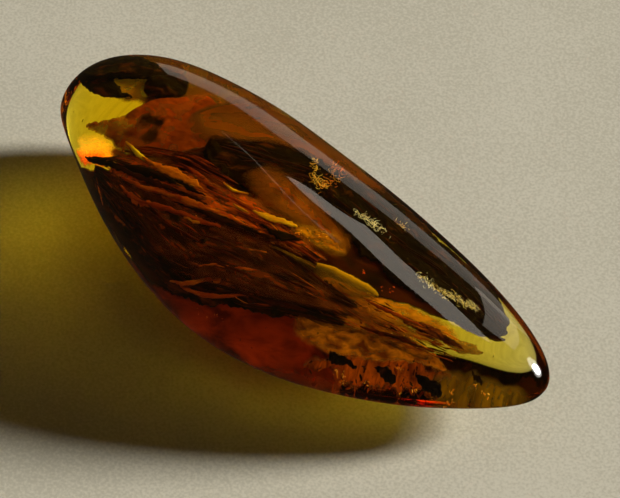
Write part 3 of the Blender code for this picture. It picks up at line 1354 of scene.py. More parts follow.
# Beds and films, in the order of their seeds
SHEETS: tuple[Sheet, ...] = (
    Sheet(
        "haze",
        (
            (-11.8, 1.5, 4.5), (-10.0, 0.6, 7.6), (-8.0, 2.0, 8.0), (-4.0, 4.4, 7.9), (0.0, 5.1, 7.7),
            (4.0, 5.5, 7.4),
        ),
        Film(
            "haze", light=(0.24, 0.072, 0.024), dark=(0.13, 0.034, 0.011), cover=0.88, patch=0.35,
            stretch=0.5, holes=0.3, soft=0.4, edge=0.25, twist=0.1,
        ),
        lift=0.35, thickness=0.08,
    ),
    Sheet(
        "leaf_haze",
        (
            (-22.8, 3.2, 5.0), (-20.5, 3.9, 6.4), (-17.5, 4.6, 7.2), (-15.9, 3.4, 7.4),
            (-15.2, 2.2, 7.5), (-14.3, 0.3, 7.6), (-13.2, -0.8, 7.7), (-11.0, -0.8, 7.8),
            (-9.0, -0.2, 7.9), (-6.5, 1.5, 7.9),
        ),
        Film(
            "leaf_haze", light=(0.26, 0.074, 0.020), dark=(0.13, 0.034, 0.010), cover=0.9, patch=0.35,
            stretch=0.5, holes=0.25, soft=0.2, edge=0.25, twist=0.1,
        ),
        lift=-0.35, thickness=0.08,
    ),
    Sheet(
        "orange_disc",
        (
            (-4.7, -0.1, 0.9), (-4.1, -0.5, 2.4), (-2.5, -0.9, 3.1), (-0.6, -1.0, 3.0),
            (1.1, -1.0, 2.6), (3.8, -1.0, 1.9), (5.5, -0.6, 1.5), (6.3, -0.1, 1.1),
        ),
        Film(
            "orange_disc", light=(0.44, 0.13, 0.008), dark=(0.17, 0.035, 0.004), cover=0.86, patch=1.3,
            stretch=0.5, holes=0.15, soft=1.0, edge=0.3, twist=0.0,
        ),
        lift=0.85, thickness=0.06,
    ),
    Sheet(
        "golden_fan",
        ((0.6, -1.2, -0.6), (2.0, -1.4, 0.0), (3.5, -1.4, 0.5), (5.0, -1.3, 0.9), (6.4, -0.9, 0.6)),
        Film(
            "golden_fan", light=(0.80, 0.37, 0.015), dark=(0.30, 0.08, 0.005), cover=0.85, patch=1.8,
            stretch=0.5, holes=0.5, soft=0.9,
        ),
        lift=0.95, thickness=0.06,
    ),
    Sheet(
        "under_bed",
        (
            (-15.2, 0.2, 1.4), (-13.0, -0.8, 3.6), (-10.5, -1.8, 6.0), (-7.0, -3.0, 7.2),
            (0.0, -3.0, 7.8), (8.0, -2.2, 7.0), (13.0, 0.6, 5.6),
        ),
        Film(
            "under_bed", light=(0.10, 0.014, 0.003), dark=(0.02, 0.004, 0.002), cover=1.0, stretch=0.5,
            holes=0.0, soft=0.6,
        ),
        lift=-2.2, thickness=0.2,
    ),
    Sheet(
        "hook_film",
        ((-19.9, 2.5, 4.4), (-18.4, 2.5, 5.0), (-16.8, 2.6, 5.2), (-15.4, 2.6, 5.0), (-13.8, 2.6, 4.4)),
        Film(
            "hook_film", light=(0.60, 0.24, 0.018), dark=(0.30, 0.08, 0.006), cover=0.85, patch=0.8,
            stretch=0.6, holes=0.35,
        ),
        lift=-0.3, thickness=0.06,
    ),
    Sheet(
        "flank_veil",
        (
            (5.5, -6.6, -3.0), (7.5, -6.4, -2.2), (9.5, -5.8, -1.5), (12.0, -4.7, -1.2),
            (14.0, -3.5, -1.2), (16.0, -2.5, -1.3), (17.6, -1.9, -1.5),
        ),
        # Its glow is painted light on a veil that lies in shade under the wood.
        Film(
            "flank_veil", light=(0.85, 0.30, 0.02), dark=(0.16, 0.03, 0.003), cover=0.98, patch=1.6,
            stretch=0.5, holes=0.4, soft=0.35, edge=0.17, glow=0.055,
        ),
        lift=-1.15, thickness=0.1,
    ),
    # An olive film under the tip: painted shade, for the shaded table seen through the tip's underside.
    Sheet(
        "tip_shade_film",
        ((16.5, -3.0, -1.6), (18.5, -2.3, -0.8), (20.5, -1.2, 0.2), (22.4, 0.2, 1.2), (24.0, 1.4, 2.0)),
        Film(
            "tip_shade_film", light=(0.42, 0.23, 0.02), dark=(0.10, 0.045, 0.008), cover=0.85, patch=0.8,
            stretch=1.6, holes=0.5, soft=0.6, edge=0.35, twist=0.2,
        ),
        lift=-2.3, thickness=0.15, roll=1.4,
    ),
    Sheet(
        "strip_fringe",
        (
            (-3.0, -1.4, 2.5), (1.0, -1.8, 2.2), (4.5, -1.7, 2.0), (7.0, -1.6, 2.2), (9.5, -1.1, 2.4),
            (11.5, -0.5, 2.4), (13.7, 0.2, 2.6), (15.7, 0.8, 2.8), (17.6, 1.1, 3.0), (19.9, 2.2, 2.9),
        ),
        Film(
            "strip_fringe", light=(0.070, 0.010, 0.003), dark=(0.008, 0.002, 0.001), cover=1.0,
            patch=0.8, stretch=0.3, holes=0.0, soft=0.12,
        ),
        lift=-0.3, thickness=0.15,
    ),
    Sheet(
        "strip_back",
        (
            (-9.8, 3.2, 4.6), (-7.7, 2.0, 5.3), (-4.9, 2.5, 5.5), (-2.5, 3.5, 6.4), (2.0, 3.5, 6.9),
            (7.0, 3.5, 6.6), (12.0, 3.2, 6.2), (16.5, 3.2, 5.6), (19.2, 2.6, 4.4),
        ),
        Film(
            "strip_back", light=(0.080, 0.018, 0.005), dark=(0.010, 0.004, 0.002), cover=1.0,
            stretch=0.4, holes=0.0, soft=0.06,
        ),
        lift=-0.2, thickness=0.15,
    ),
    Sheet(
        "dark_bed",
        (
            (-21.2, -3.4, -1.6), (-19.8, -4.2, -1.7), (-18.2, -4.9, -1.8), (-16.5, -5.4, -1.8),
            (-14.5, -5.6, -1.5), (-10.6, -7.0, -0.2), (-7.0, -8.2, 0.9), (-5.0, -8.2, 1.0),
            (-1.8, -7.2, 0.9), (1.1, -6.1, 0.6), (3.9, -4.9, -0.2), (7.0, -4.0, -1.2),
            (9.2, -3.2, -1.9),
        ),
        Film(
            "dark_bed", light=(0.07, 0.010, 0.003), dark=(0.012, 0.003, 0.0015), cover=1.0, patch=0.8,
            stretch=0.25, holes=0.0, soft=0.1,
        ),
        lift=-1.15, thickness=0.3,
    ),
    Sheet(
        "red_bed",
        (
            (-15.0, -6.2, -4.0), (-11.0, -8.0, -5.5), (-6.0, -9.2, -6.0), (-2.0, -9.8, -5.2),
            (2.0, -9.6, -4.4), (6.0, -8.8, -3.4), (9.0, -8.0, -3.6), (11.0, -7.4, -5.2),
        ),
        Film(
            "red_bed", light=(0.60, 0.055, 0.003), dark=(0.10, 0.008, 0.002), cover=1.0, patch=0.8,
            stretch=0.4, holes=0.1, soft=0.5, twist=0.6,
        ),
        lift=-2.4, thickness=0.2, roll=0.25,
    ),
    Sheet(
        "amber_veil",
        (
            (4.6, -4.2, -1.4), (6.6, -4.5, -0.6), (8.5, -4.6, -0.2), (11.0, -3.9, 0.3),
            (13.5, -2.9, 0.9), (15.5, -1.8, 1.0), (17.3, -0.7, 0.8),
        ),
        # Its glow is painted light.
        Film(
            "amber_veil", light=(0.85, 0.32, 0.015), dark=(0.30, 0.070, 0.005), cover=0.88, patch=1.3,
            stretch=0.4, holes=0.6, soft=0.5, edge=0.25, glow=0.05,
        ),
        lift=-0.4, thickness=0.08,
    ),
    Sheet(
        "bundle_veil",
        (
            (-15.5, -4.2, -3.0), (-10.6, -6.0, -3.0), (-6.9, -7.3, -2.8), (-3.6, -8.0, -2.6),
            (-0.5, -7.6, -2.3), (2.5, -6.8, -2.8), (5.8, -5.6, -2.9), (9.5, -4.5, -2.8),
            (12.5, -3.6, -2.5),
        ),
        Film(
            "bundle_veil", light=(0.22, 0.045, 0.005), dark=(0.02, 0.004, 0.002), cover=0.85, patch=1.5,
            stretch=0.25, holes=0.9, soft=0.6, edge=0.16,
        ),
        lift=1.0, thickness=0.06,
    ),
    Sheet(
        "middle_veil",
        (
            (-15.8, -3.2, -2.0), (-12.0, -3.9, -1.2), (-8.0, -4.2, -0.8), (-4.0, -4.0, -0.4),
            (0.0, -3.3, -0.4), (3.0, -2.6, -0.8), (5.5, -2.2, -1.1),
        ),
        Film(
            "middle_veil", light=(0.90, 0.17, 0.008), dark=(0.08, 0.010, 0.002), cover=0.9, patch=1.5,
            stretch=0.3, holes=0.9, soft=0.6, edge=0.16,
        ),
        lift=0.95, thickness=0.06,
    ),
    Sheet(
        "fracture_wall",
        (
            (7.6, -7.0, -6.0), (8.6, -6.8, -5.9), (10.4, -5.5, -4.6), (12.0, -4.5, -3.6),
            (13.7, -3.5, -2.6), (16.0, -2.7, -1.9), (18.7, -1.6, -0.8),
        ),
        # Its glow is painted light.
        Film(
            "fracture_wall", light=(0.85, 0.17, 0.010), dark=(0.10, 0.010, 0.002), cover=0.98,
            patch=1.4, stretch=1.1, holes=0.15, soft=0.4, twist=0.9, glow=0.04,
        ),
        lift=-2.5, thickness=0.25, roll=2.4,
    ),
    # A painted glow where the dome gathers the light, at the blunt end.
    Sheet(
        "glow",
        (
            (-20.2, -1.4, -0.6), (-19.2, -1.7, -0.2), (-17.6, -1.7, 0.0), (-16.2, -1.5, -0.2),
            (-14.9, -1.1, -0.5),
        ),
        PaintedGlow("glow", glow=0.75, heat=0.45, soft=1.0),
        lift=-0.2, thickness=0.1, roll=0.1,
    ),
    Sheet(
        "ridge_bed",
        (
            (-16.0, -1.0, -0.5), (-15.0, -1.9, -0.4), (-13.5, -2.6, -0.5), (-12.0, -2.6, -0.6),
            (-9.5, -2.4, 0.2),
        ),
        Film(
            "ridge_bed", light=(0.42, 0.09, 0.006), dark=(0.08, 0.014, 0.003), cover=0.97, patch=0.9,
            stretch=0.5, holes=0.15,
        ),
        lift=-0.5, thickness=0.15,
    ),
    # A painted glow along the crack at the blunt end, yellow at its back edge.
    Sheet(
        "painted_glow",
        (
            (-20.2, -2.2, -1.5), (-19.3, -2.5, -1.2), (-18.0, -2.6, -0.8), (-16.4, -2.4, -0.5),
            (-15.1, -2.2, -0.8), (-14.1, -1.8, -1.4),
        ),
        PaintedGlow(),
        lift=-0.3, thickness=0.1, roll=0.1, slope=0.5,
    ),
    Sheet(
        "brown_flake",
        ((16.9, -0.9, -0.4), (17.6, -1.0, 0.2), (18.4, -0.6, 0.45), (19.5, 0.25, 0.5)),
        Film(
            "brown_flake", light=(0.40, 0.17, 0.02), dark=(0.16, 0.05, 0.01), cover=0.75, patch=1.5,
            stretch=0.5, holes=0.3, soft=0.25,
        ),
        lift=0.1, thickness=0.12,
    ),
)

# Single strands: the line of their middle, width, tone and lift, in the order of their seeds
STRANDS: tuple[Strand, ...] = (
    Strand(
        (
            (-18.3, -2.75), (-16.0, -2.75), (-13.8, -2.75), (-11.0, -2.4), (-8.9, -2.3), (-7.1, -2.25),
            (-5.6, -2.2),
        ),
        0.55, 0.0, 1.1,
    ),
    Strand(((-16.0, -3.4), (-15.3, -4.2), (-14.4, -5.2)), 0.2, 0.55, 0.3),
    Strand(((-12.9, -3.8), (-10.4, -4.4), (-8.1, -4.1)), 0.5, 0.5, 0.95),
    Strand(((-6.0, -4.2), (-5.0, -4.1), (-4.2, -4.0)), 0.3, 0.75, 1.05),
    Strand(
        ((-12.2, -1.55), (-10.9, -1.75), (-9.7, -1.75), (-8.4, -1.75), (-7.2, -1.85), (-5.9, -2.05)),
        0.6, 0.64, 1.1,
    ),
    Strand(((-14.3, -0.9), (-13.5, -1.1), (-12.9, -1.3), (-12.0, -1.5), (-11.0, -1.7)), 0.3, 1.1, 0.9),
    Strand(((-5.2, -0.8), (-4.2, -0.9), (-3.0, -0.6)), 0.16, 0.85, 1.1),
    Strand(((-3.4, -1.8), (-2.6, -1.85), (-1.9, -1.8)), 0.2, 0.8, 1.1),
    Strand(((-1.8, -1.5), (-0.7, -1.3), (0.3, -1.1), (1.1, -0.95), (1.9, -0.9)), 0.5, 0.85, 1.15),
    Strand(((-0.5, -2.1), (0.9, -2.0), (2.1, -1.7), (2.9, -1.45)), 0.65, 0.03, 1.15),
    Strand(((-2.7, -6.6), (-1.5, -6.0), (-0.1, -5.6), (1.2, -5.1), (2.5, -4.7)), 0.32, 0.6, 0.95),
    Strand(((-0.6, -4.2), (0.4, -3.8), (1.3, -3.5)), 0.14, 0.8, 0.95),
    Strand(
        ((-12.9, -3.4), (-9.9, -3.4), (-7.2, -3.2), (-4.6, -3.0), (-2.2, -2.7), (0.2, -2.3)),
        0.5, 0.55, 1.1,
    ),
    Strand(((-14.5, -2.6), (-11.5, -2.9), (-8.5, -2.9), (-5.0, -2.7)), 0.4, 0.15, 1.1),
    Strand(((-7.5, -3.6), (-4.5, -3.4), (-1.5, -2.9), (1.5, -2.5)), 0.35, 0.1, 1.15),
    Strand(((-11.0, -4.4), (-8.0, -4.3), (-5.2, -4.0), (-3.0, -3.6)), 0.35, 0.45, 1.1),
    Strand(
        ((-4.5, -8.4), (-3.1, -8.0), (-1.7, -7.1), (-0.3, -6.6), (0.9, -6.1), (2.1, -5.8)),
        0.35, 0.55, 0.75,
    ),
    Strand(((-3.4, -8.3), (-1.5, -8.1), (0.7, -7.2), (2.3, -6.3)), 0.3, 0.5, 0.65),
    Strand(((-14.5, -3.6), (-12.0, -4.1), (-9.5, -4.7), (-6.5, -5.4), (-3.5, -6.4)), 0.4, 0.5, 0.75),
    Strand(((1.5, -3.3), (4.0, -3.2), (7.0, -3.1), (9.5, -2.9)), 0.4, 0.05, 0.6),
    Strand(((2.0, -5.0), (4.5, -4.4), (7.5, -3.9), (10.5, -3.2)), 0.4, 0.35, 0.7),
    Strand(((-9.6, -0.4), (-8.0, -0.6), (-6.5, -0.8), (-5.0, -1.1)), 0.35, 0.4, 0.1),
    Strand(((9.6, -1.9), (11.8, -1.5), (14.0, -1.0), (16.0, -0.5)), 0.3, 0.45, 0.1),
    Strand(((10.5, -3.6), (12.5, -3.0), (14.6, -2.3), (16.4, -1.8)), 0.35, 0.3, 0.0),
)


# How far fibres sway and skew across their field, ripple up and down and tilt, and how flat they are
FIBRE_SWAY = 0.03
FIBRE_SKEW = 0.07
FIBRE_RIPPLE = 0.08
FIBRE_TILT = 0.35
FIBRE_FLATNESS = 0.45


@dataclass
class FibreField:
    """Fine fibres that lie side by side between two lines, as seeded chance has them.

    Attributes:
        low: (x, y) points of the front line.
        high: (x, y) points of the back line.
        count: how many fibres there are.
        tone: the least and greatest tone.
        lift: the least and greatest lift above the flow surface.
        length: the least and greatest length.
        width: the least and greatest half width.
        seed: fixes them.
        steps: points along a fibre.
    """

    low: Line
    high: Line
    count: int
    tone: Range
    lift: Range
    length: Range = (2.0, 9.0)
    width: Range = (0.025, 0.08)
    seed: int = 1
    steps: int = 9

    def threads(self, stone: Stone) -> Threads:
        """The fibres: each keeps its share of the way between the lines, with a slow and a quick wander.

        Args:
            stone: the stone that they lie in.

        Returns:
            The fibres as threads.
        """
        rng = np.random.default_rng(self.seed)
        low, high = np.array(self.low), np.array(self.high)
        first, last = low[0, 0], low[-1, 0]
        length = rng.uniform(*self.length, (self.count, 1))
        middle = rng.uniform(first, last, (self.count, 1))
        way = np.linspace(-0.5, 0.5, self.steps)
        x = np.clip(middle + length * way, first, last) + 0.01 * way
        share = rng.uniform(0.02, 0.98, (self.count, 1))
        start = rng.uniform(0.0, FULL_TURN, (self.count, 1))
        turns = rng.uniform(0.3, 0.9, (self.count, 1))
        skew = rng.normal(0.0, FIBRE_SKEW, (self.count, 1)) * way
        share = share + FIBRE_SWAY * np.sin(x * turns + start) + skew
        front, back = np.interp(x, *low.T), np.interp(x, *high.T)
        y = front + share * (back - front)
        lift = rng.uniform(*self.lift, (self.count, 1)) * np.sin(np.pi * np.clip(share, 0.05, 0.95)) ** 0.5
        z = stone.flow(x, y) + lift + FIBRE_RIPPLE * np.sin(x * 1.3 + start)
        width = rng.uniform(*self.width, (self.count, 1)) * taper(self.steps)
        tone = rng.uniform(*self.tone, (self.count, 1)) * np.ones(self.steps)
        face = np.array((0.0, 0.0, 1.0)) + rng.normal(0.0, FIBRE_TILT, (self.count, 1, 3))
        return Threads(np.stack([x, y, z], -1), width, width * FIBRE_FLATNESS, tone, face)


BUNDLE_FRONT: Line = (
    (-16.4, -3.7), (-14.4, -4.5), (-10.6, -6.1), (-6.9, -7.6), (-3.6, -8.4), (-0.5, -7.9), (2.5, -7.0),
    (5.8, -5.7), (9.5, -4.5), (13.2, -3.5), (16.0, -2.8),
)
BUNDLE_BACK: Line = ((-16.4, -2.9), (-6.0, -2.6), (-0.5, -2.2), (6.0, -2.7), (13.2, -2.3), (16.0, -2.1))
DARK_FRONT: Line = BUNDLE_FRONT[:9]
DARK_BACK: Line = ((-16.4, -2.9), (-6.0, -2.6), (-0.5, -2.2), (6.0, -2.7), (9.5, -2.6))
MIDDLE_FRONT: Line = ((-16.5, -3.2), (-8.0, -3.4), (-2.0, -2.8), (5.0, -2.4))
MIDDLE_BACK: Line = ((-16.5, -2.3), (-12.0, -1.5), (-6.0, -0.9), (0.0, -0.8), (5.0, -1.2))
VEIL_FRONT: Line = ((7.0, -4.6), (12.0, -3.6), (18.0, -1.6))
VEIL_BACK: Line = ((7.0, -1.8), (12.0, -1.0), (18.0, 0.4))
STRIP_FRONT: Line = ((-8.0, 0.9), (-3.0, 1.2), (-1.0, 2.6), (7.0, 1.2), (19.0, 2.0))
STRIP_BACK: Line = ((-8.0, 3.1), (-3.0, 5.4), (4.0, 6.0), (12.0, 5.6), (19.0, 3.9))
PATCH_FRONT: Line = ((-14.0, -1.2), (-9.0, -0.6), (-4.5, -0.4))
PATCH_BACK: Line = ((-14.0, -0.5), (-9.0, 0.6), (-4.5, 0.6))
FIELDS: tuple[FibreField, ...] = (
    FibreField(DARK_FRONT, DARK_BACK, 90, (0.0, 0.26), (0.8, 1.02), (5.0, 15.0), (0.06, 0.22), 101, 14),
    FibreField(BUNDLE_FRONT, BUNDLE_BACK, 34, (0.4, 0.66), (0.95, 1.1), (0.6, 3.0), (0.02, 0.06), 102),
    FibreField(MIDDLE_FRONT, MIDDLE_BACK, 80, (0.0, 0.5), (0.7, 1.25), (2.0, 8.0), (0.03, 0.15), 103, 12),
    FibreField(MIDDLE_FRONT, MIDDLE_BACK, 60, (0.6, 0.85), (0.9, 1.25), (0.3, 1.8), (0.015, 0.05), 104),
    FibreField(VEIL_FRONT, VEIL_BACK, 150, (0.1, 0.7), (-0.3, 0.3), (0.3, 2.2), (0.02, 0.08), 105, 6),
    FibreField(STRIP_FRONT, STRIP_BACK, 150, (0.0, 0.24), (0.35, 0.55), (1.0, 5.0), (0.03, 0.09), 106),
    FibreField(PATCH_FRONT, PATCH_BACK, 60, (0.05, 0.5), (0.0, 0.3), (0.8, 3.5), (0.02, 0.07), 107, 7),
)


CURL_STEPS = 8
CURL_BEND: Range = (1.2, 4.2)
CURL_WAVE = 0.25
CURL_HALF_WIDTH: Range = (0.007, 0.022)
CURL_FLATNESS = 0.6
CURL_FACE = np.array((0.31, -0.4, 0.86))
FLAKE_STEPS = 6
FLAKE_FLATNESS = 0.2
FLAKE_FACE = np.array((0.6, -0.75, 0.3))


@dataclass(frozen=True)
class Curls:
    """Tiny bent wires strewn along a line of places.

    Attributes:
        line: places of the straight stone.
        count: how many wires there are.
        spread: how far from the line they lie.
        radius: the arcs' least and greatest radius.
        tone: their least and greatest tone.
        seed: fixes them.
    """

    line: Path
    count: int
    spread: float
    radius: Range
    tone: Range
    seed: int

    def body(self, stone: Stone) -> Body:
        """The wires: each a wavy arc of a circle about a place near the line, turned any way.

        Args:
            stone: the stone that they lie in.

        Returns:
            The body.
        """
        rng = np.random.default_rng(self.seed)
        places = np.array(self.line)
        at = rng.uniform(0.0, len(places) - 1.0, self.count)
        knots = np.arange(len(places))
        centre = np.stack([np.interp(at, knots, places[:, n]) for n in range(3)], -1)[:, None]
        centre = centre + rng.normal(0.0, self.spread, (self.count, 1, 3)) * (1.0, 1.0, 0.5)
        first = rng.normal(size=(self.count, 1, 3))
        first /= np.linalg.norm(first, axis=-1, keepdims=True)
        second = np.cross(first, rng.normal(size=(self.count, 1, 3)))
        second /= np.linalg.norm(second, axis=-1, keepdims=True)
        size = rng.uniform(*self.radius, (self.count, 1, 1))
        start = rng.uniform(0.0, FULL_TURN, (self.count, 1))
        bend = rng.uniform(*CURL_BEND, (self.count, 1))
        turn = (start + bend * np.linspace(0.0, 1.0, CURL_STEPS))[..., None]
        wave = 1.0 + CURL_WAVE * np.sin(turn * 3.0)
        paths = centre + size * wave * (np.cos(turn) * first + np.sin(turn) * second)
        width = rng.uniform(*CURL_HALF_WIDTH, (self.count, 1)) * taper(CURL_STEPS, 0.4)
        tones = rng.uniform(*self.tone, (self.count, 1))
        return Threads(paths, width, width * CURL_FLATNESS, tones, CURL_FACE, 5).body(stone)


@dataclass(frozen=True)
class Flakes:
    """Tiny flat flakes about places, a few at each.

    Attributes:
        places: places of the straight stone.
        count: flakes at each.
        spread: how far from it they lie.
        size: their least and greatest half length.
        tone: their least and greatest tone.
        seed: fixes them.
        upright: 0 for flakes that lie any way and 1 for upright ones.
    """

    places: Path | np.ndarray
    count: int
    spread: float
    size: Range
    tone: Range
    seed: int
    upright: float = 0.0

    def body(self, stone: Stone) -> Body:
        """The flakes: each a short straight path with a wide and a thin half across it.

        Args:
            stone: the stone that they lie in.

        Returns:
            The body.
        """
        rng = np.random.default_rng(self.seed)
        centre = np.repeat(np.array(self.places), self.count, 0)[:, None]
        number = len(centre)
        centre = centre + rng.normal(0.0, self.spread, (number, 1, 3))
        along = rng.normal(size=(number, 1, 3)) * (1.0 - 0.8 * self.upright)
        along = along + np.array((0.0, 0.0, 2.5 * self.upright))
        along /= np.linalg.norm(along, axis=-1, keepdims=True)
        half = rng.uniform(*self.size, (number, 1, 1))
        paths = centre + half * along * np.linspace(-1.0, 1.0, FLAKE_STEPS)[:, None]
        share = rng.uniform(0.1, 0.5 - 0.25 * self.upright, (number, 1))
        width = half[..., 0] * share * taper(FLAKE_STEPS, 0.5)
        tones = rng.uniform(*self.tone, (number, 1))
        face = FLAKE_FACE + rng.normal(0.0, 0.3, (number, 1, 3))
        return Threads(paths, width, width * FLAKE_FLATNESS, tones, face).body(stone)


# Curls over the strip, then sparks on the wood, on the fractured flank and in the clear parts
GLINTS: tuple[Curls | Flakes, ...] = (
    Curls(
        ((-1.1, 4.8, 11.5), (0.3, 3.4, 11.9), (1.1, 2.7, 11.9), (1.8, 2.9, 11.8)),
        70, 0.16, (0.06, 0.3), (0.4, 0.7), 401,
    ),
    Curls(
        ((1.8, 2.9, 11.8), (1.6, 3.8, 11.5), (1.3, 4.6, 11.2), (0.4, 6.2, 10.2)),
        60, 0.35, (0.08, 0.35), (0.15, 0.5), 402,
    ),
    Curls(
        ((5.1, 2.5, 11.4), (6.0, 2.7, 11.2), (6.8, 2.7, 11.0), (8.1, 2.8, 10.6)),
        110, 0.17, (0.06, 0.26), (0.8, 1.0), 403,
    ),
    Curls(((8.0, 4.5, 10.1), (8.7, 4.5, 9.9)), 20, 0.2, (0.06, 0.2), (0.5, 0.8), 404),
    Curls(
        (
            (12.1, 1.6, 9.9), (13.4, 1.5, 9.6), (14.6, 1.8, 9.2), (15.3, 2.1, 8.9), (16.2, 2.3, 8.6),
            (17.2, 2.7, 8.2),
        ),
        240, 0.17, (0.05, 0.22), (0.6, 0.95), 405,
    ),
    Flakes(
        ((-5.2, -0.9, 9.4), (-3.2, -1.9, 9.6), (-5.2, -3.8, 9.4), (-9.0, -1.5, 9.1)),
        4, 0.15, (0.05, 0.16), (0.2, 0.5), 411,
    ),
    Flakes(
        ((2.4, -1.1, 9.8), (3.2, -0.7, 9.7), (3.8, -0.2, 9.6), (4.3, -0.3, 9.5)),
        6, 0.16, (0.05, 0.16), (0.4, 0.6), 412,
    ),
    Flakes(
        ((-1.4, -8.4, 5.7), (-0.5, -8.3, 5.7), (0.1, -7.9, 5.9), (0.7, -7.8, 5.9)),
        3, 0.12, (0.04, 0.1), (0.0, 0.3), 413,
    ),
    Flakes(
        ((10.8, -0.1, 8.2), (10.0, -0.5, 8.3), (8.1, -0.3, 8.6)),
        4, 0.15, (0.05, 0.14), (0.0, 0.15), 414,
    ),
    Flakes(
        (
            (11.2, -6.3, 5.2), (14.5, -3.6, 5.6), (16.4, -4.2, 5.2), (19.2, -3.3, 4.7),
            (18.8, -2.7, 5.0), (20.9, -1.2, 4.8), (19.9, -1.0, 5.1),
        ),
        8, 0.17, (0.04, 0.13), (0.25, 0.6), 415, upright=0.5,
    ),
    Flakes(
        ((10.6, -6.4, 5.3), (11.3, -6.5, 4.9), (13.0, -5.6, 5.0), (15.6, -4.9, 4.6)),
        5, 0.14, (0.04, 0.12), (0.3, 0.6), 418, upright=0.3,
    ),
    Flakes(
        ((-18.0, -1.6, 6.0), (-16.5, -1.9, 6.5), (-15.2, -2.0, 6.8)),
        6, 0.2, (0.05, 0.15), (0.0, 0.4), 416,
    ),
    Flakes(
        ((20.3, 0.9, 6.9), (15.0, -2.2, 7.0), (13.0, -2.6, 7.2)),
        2, 0.1, (0.04, 0.1), (0.5, 0.7), 417,
    ),
)

# The fractured flank: the line that its flakes hang about, and their tops along X
FLANK_LINE: Line = (
    (8.0, -6.9), (10.4, -5.2), (12.0, -4.2), (13.7, -3.3), (16.0, -2.5), (18.7, -1.4),
)
FLANK_TOP: Line = ((8.0, 5.6), (13.7, 5.7), (18.7, 5.0))
FLANK_REACH: Range = (8.0, 17.5)
FLANK_FLAKES = 120
FLANK_SEED = 421
FLANK_LUMPS = Flakes(
    ((14.7, -3.5, 6.0), (15.2, -2.9, 6.0), (16.5, -2.6, 5.9), (17.4, -2.3, 5.8)),
    8, 0.22, (0.05, 0.13), (0.0, 0.1), 423,
)

# Dark specks in the clear parts: those that stand out, and how many more are strewn
SPECKS = Flakes(
    (
        (20.3, 0.7, 6.9), (16.8, -0.5, 7.3), (18.0, -1.3, 7.0), (17.2, -1.5, 7.1), (10.1, -2.0, 8.1),
        (8.5, -3.7, 7.6), (9.2, -1.9, 8.2), (-0.1, -4.5, 9.4), (4.1, -6.8, 6.2), (2.7, -8.3, 5.3),
        (9.5, -6.2, 5.7), (7.7, -5.1, 6.4), (3.9, -8.4, 5.2), (-21.6, 1.7, 6.5), (-20.0, 1.0, 6.9),
    ),
    2, 0.05, (0.07, 0.15), (0.0, 0.08), 432,
)
STREWN_SPECKS = 60
STREWN_LINE: Line = ((6.0, -3.4), (19.5, -0.4))
STREWN_SEED = 431

# The first sheet's and the first strand's seed
SHEET_SEED = 200
STRAND_SEED = 300


@dataclass
class Filling:
    """What the source leaves out as too fine: beds, films, strands, fibres, glints and specks."""

    stone: Stone

    def sheets(self) -> None:
        """Makes the beds under the wood and the films on the flow surface."""
        for seed, sheet in enumerate(SHEETS, SHEET_SEED):
            sheet.scrap(seed).body(self.stone).build(sheet.name, sheet.finish)

    def strands(self) -> None:
        """Makes the single strands that stand out in the wood."""
        bodies = [strand.scrap(seed).body(self.stone) for seed, strand in enumerate(STRANDS, STRAND_SEED)]
        Body.joined(bodies).build("strands", Fibre())

    def fibres(self) -> None:
        """Makes the fields of fine fibres."""
        bodies = [field.threads(self.stone).body(self.stone) for field in FIELDS]
        Body.joined(bodies).build("fibres", Fibre("fine_fibre", 0.3))

    def glints(self) -> None:
        """Makes the curls and sparks."""
        Body.joined([group.body(self.stone) for group in GLINTS]).build("glints", Glint())

    def fractures(self) -> None:
        """Makes the flakes of the fractured flank, strewn about a line, and the dark lumps among them."""
        rng = np.random.default_rng(FLANK_SEED)
        x = rng.uniform(*FLANK_REACH, FLANK_FLAKES)
        y = np.interp(x, *np.transpose(FLANK_LINE)) + rng.normal(0.0, 0.3, FLANK_FLAKES)
        z = np.interp(x, *np.transpose(FLANK_TOP)) - rng.uniform(0.5, 2.4, FLANK_FLAKES)
        plates = Flakes(np.stack([x, y, z], -1), 2, 0.15, (0.05, 0.3), (0.05, 0.5), 422, upright=0.25)
        bodies = [group.body(self.stone) for group in (plates, FLANK_LUMPS)]
        Body.joined(bodies).build("fractures", Fibre("fracture", 0.5))

    def specks(self) -> None:
        """Makes the dark specks, the finest of them strewn along a line beside the wood."""
        rng = np.random.default_rng(STREWN_SEED)
        x_line, y_line = np.transpose(STREWN_LINE)
        x = rng.uniform(*x_line, STREWN_SPECKS)
        y = np.interp(x, x_line, y_line) + rng.normal(0.0, 1.1, STREWN_SPECKS)
        z = self.stone.flow(x, y) + rng.uniform(-1.2, 0.6, STREWN_SPECKS)
        strewn = Flakes(np.stack([x, y, z], -1), 1, 0.05, (0.03, 0.08), (0.0, 0.3), 433)
        bodies = [group.body(self.stone) for group in (SPECKS, strewn)]
        Body.joined(bodies).build("specks", Fibre("speck", 0.1))

    def build(self) -> None:
        """Makes everything."""
        self.sheets()
        self.strands()
        self.fibres()
        self.glints()
        self.fractures()
        self.specks()


# Studio


class Reach(Enum):
    """What a light shows in, as a pair: matte surfaces, and shiny ones."""

    EVERYTHING = (True, True)
    SHINE = (False, True)
    INSIDE = (False, False)


class Face(Enum):
    """The shape of a light's face."""

    RECTANGLE = "RECTANGLE"
    ROUND = "ELLIPSE"


def direction(azimuth: float, elevation: float) -> Vector:
    """The way to a place this far round from X towards Y and this high over the table, in degrees."""
    a, e = math.radians(azimuth), math.radians(elevation)
    return Vector((math.cos(a) * math.cos(e), math.sin(a) * math.cos(e), math.sin(e)))


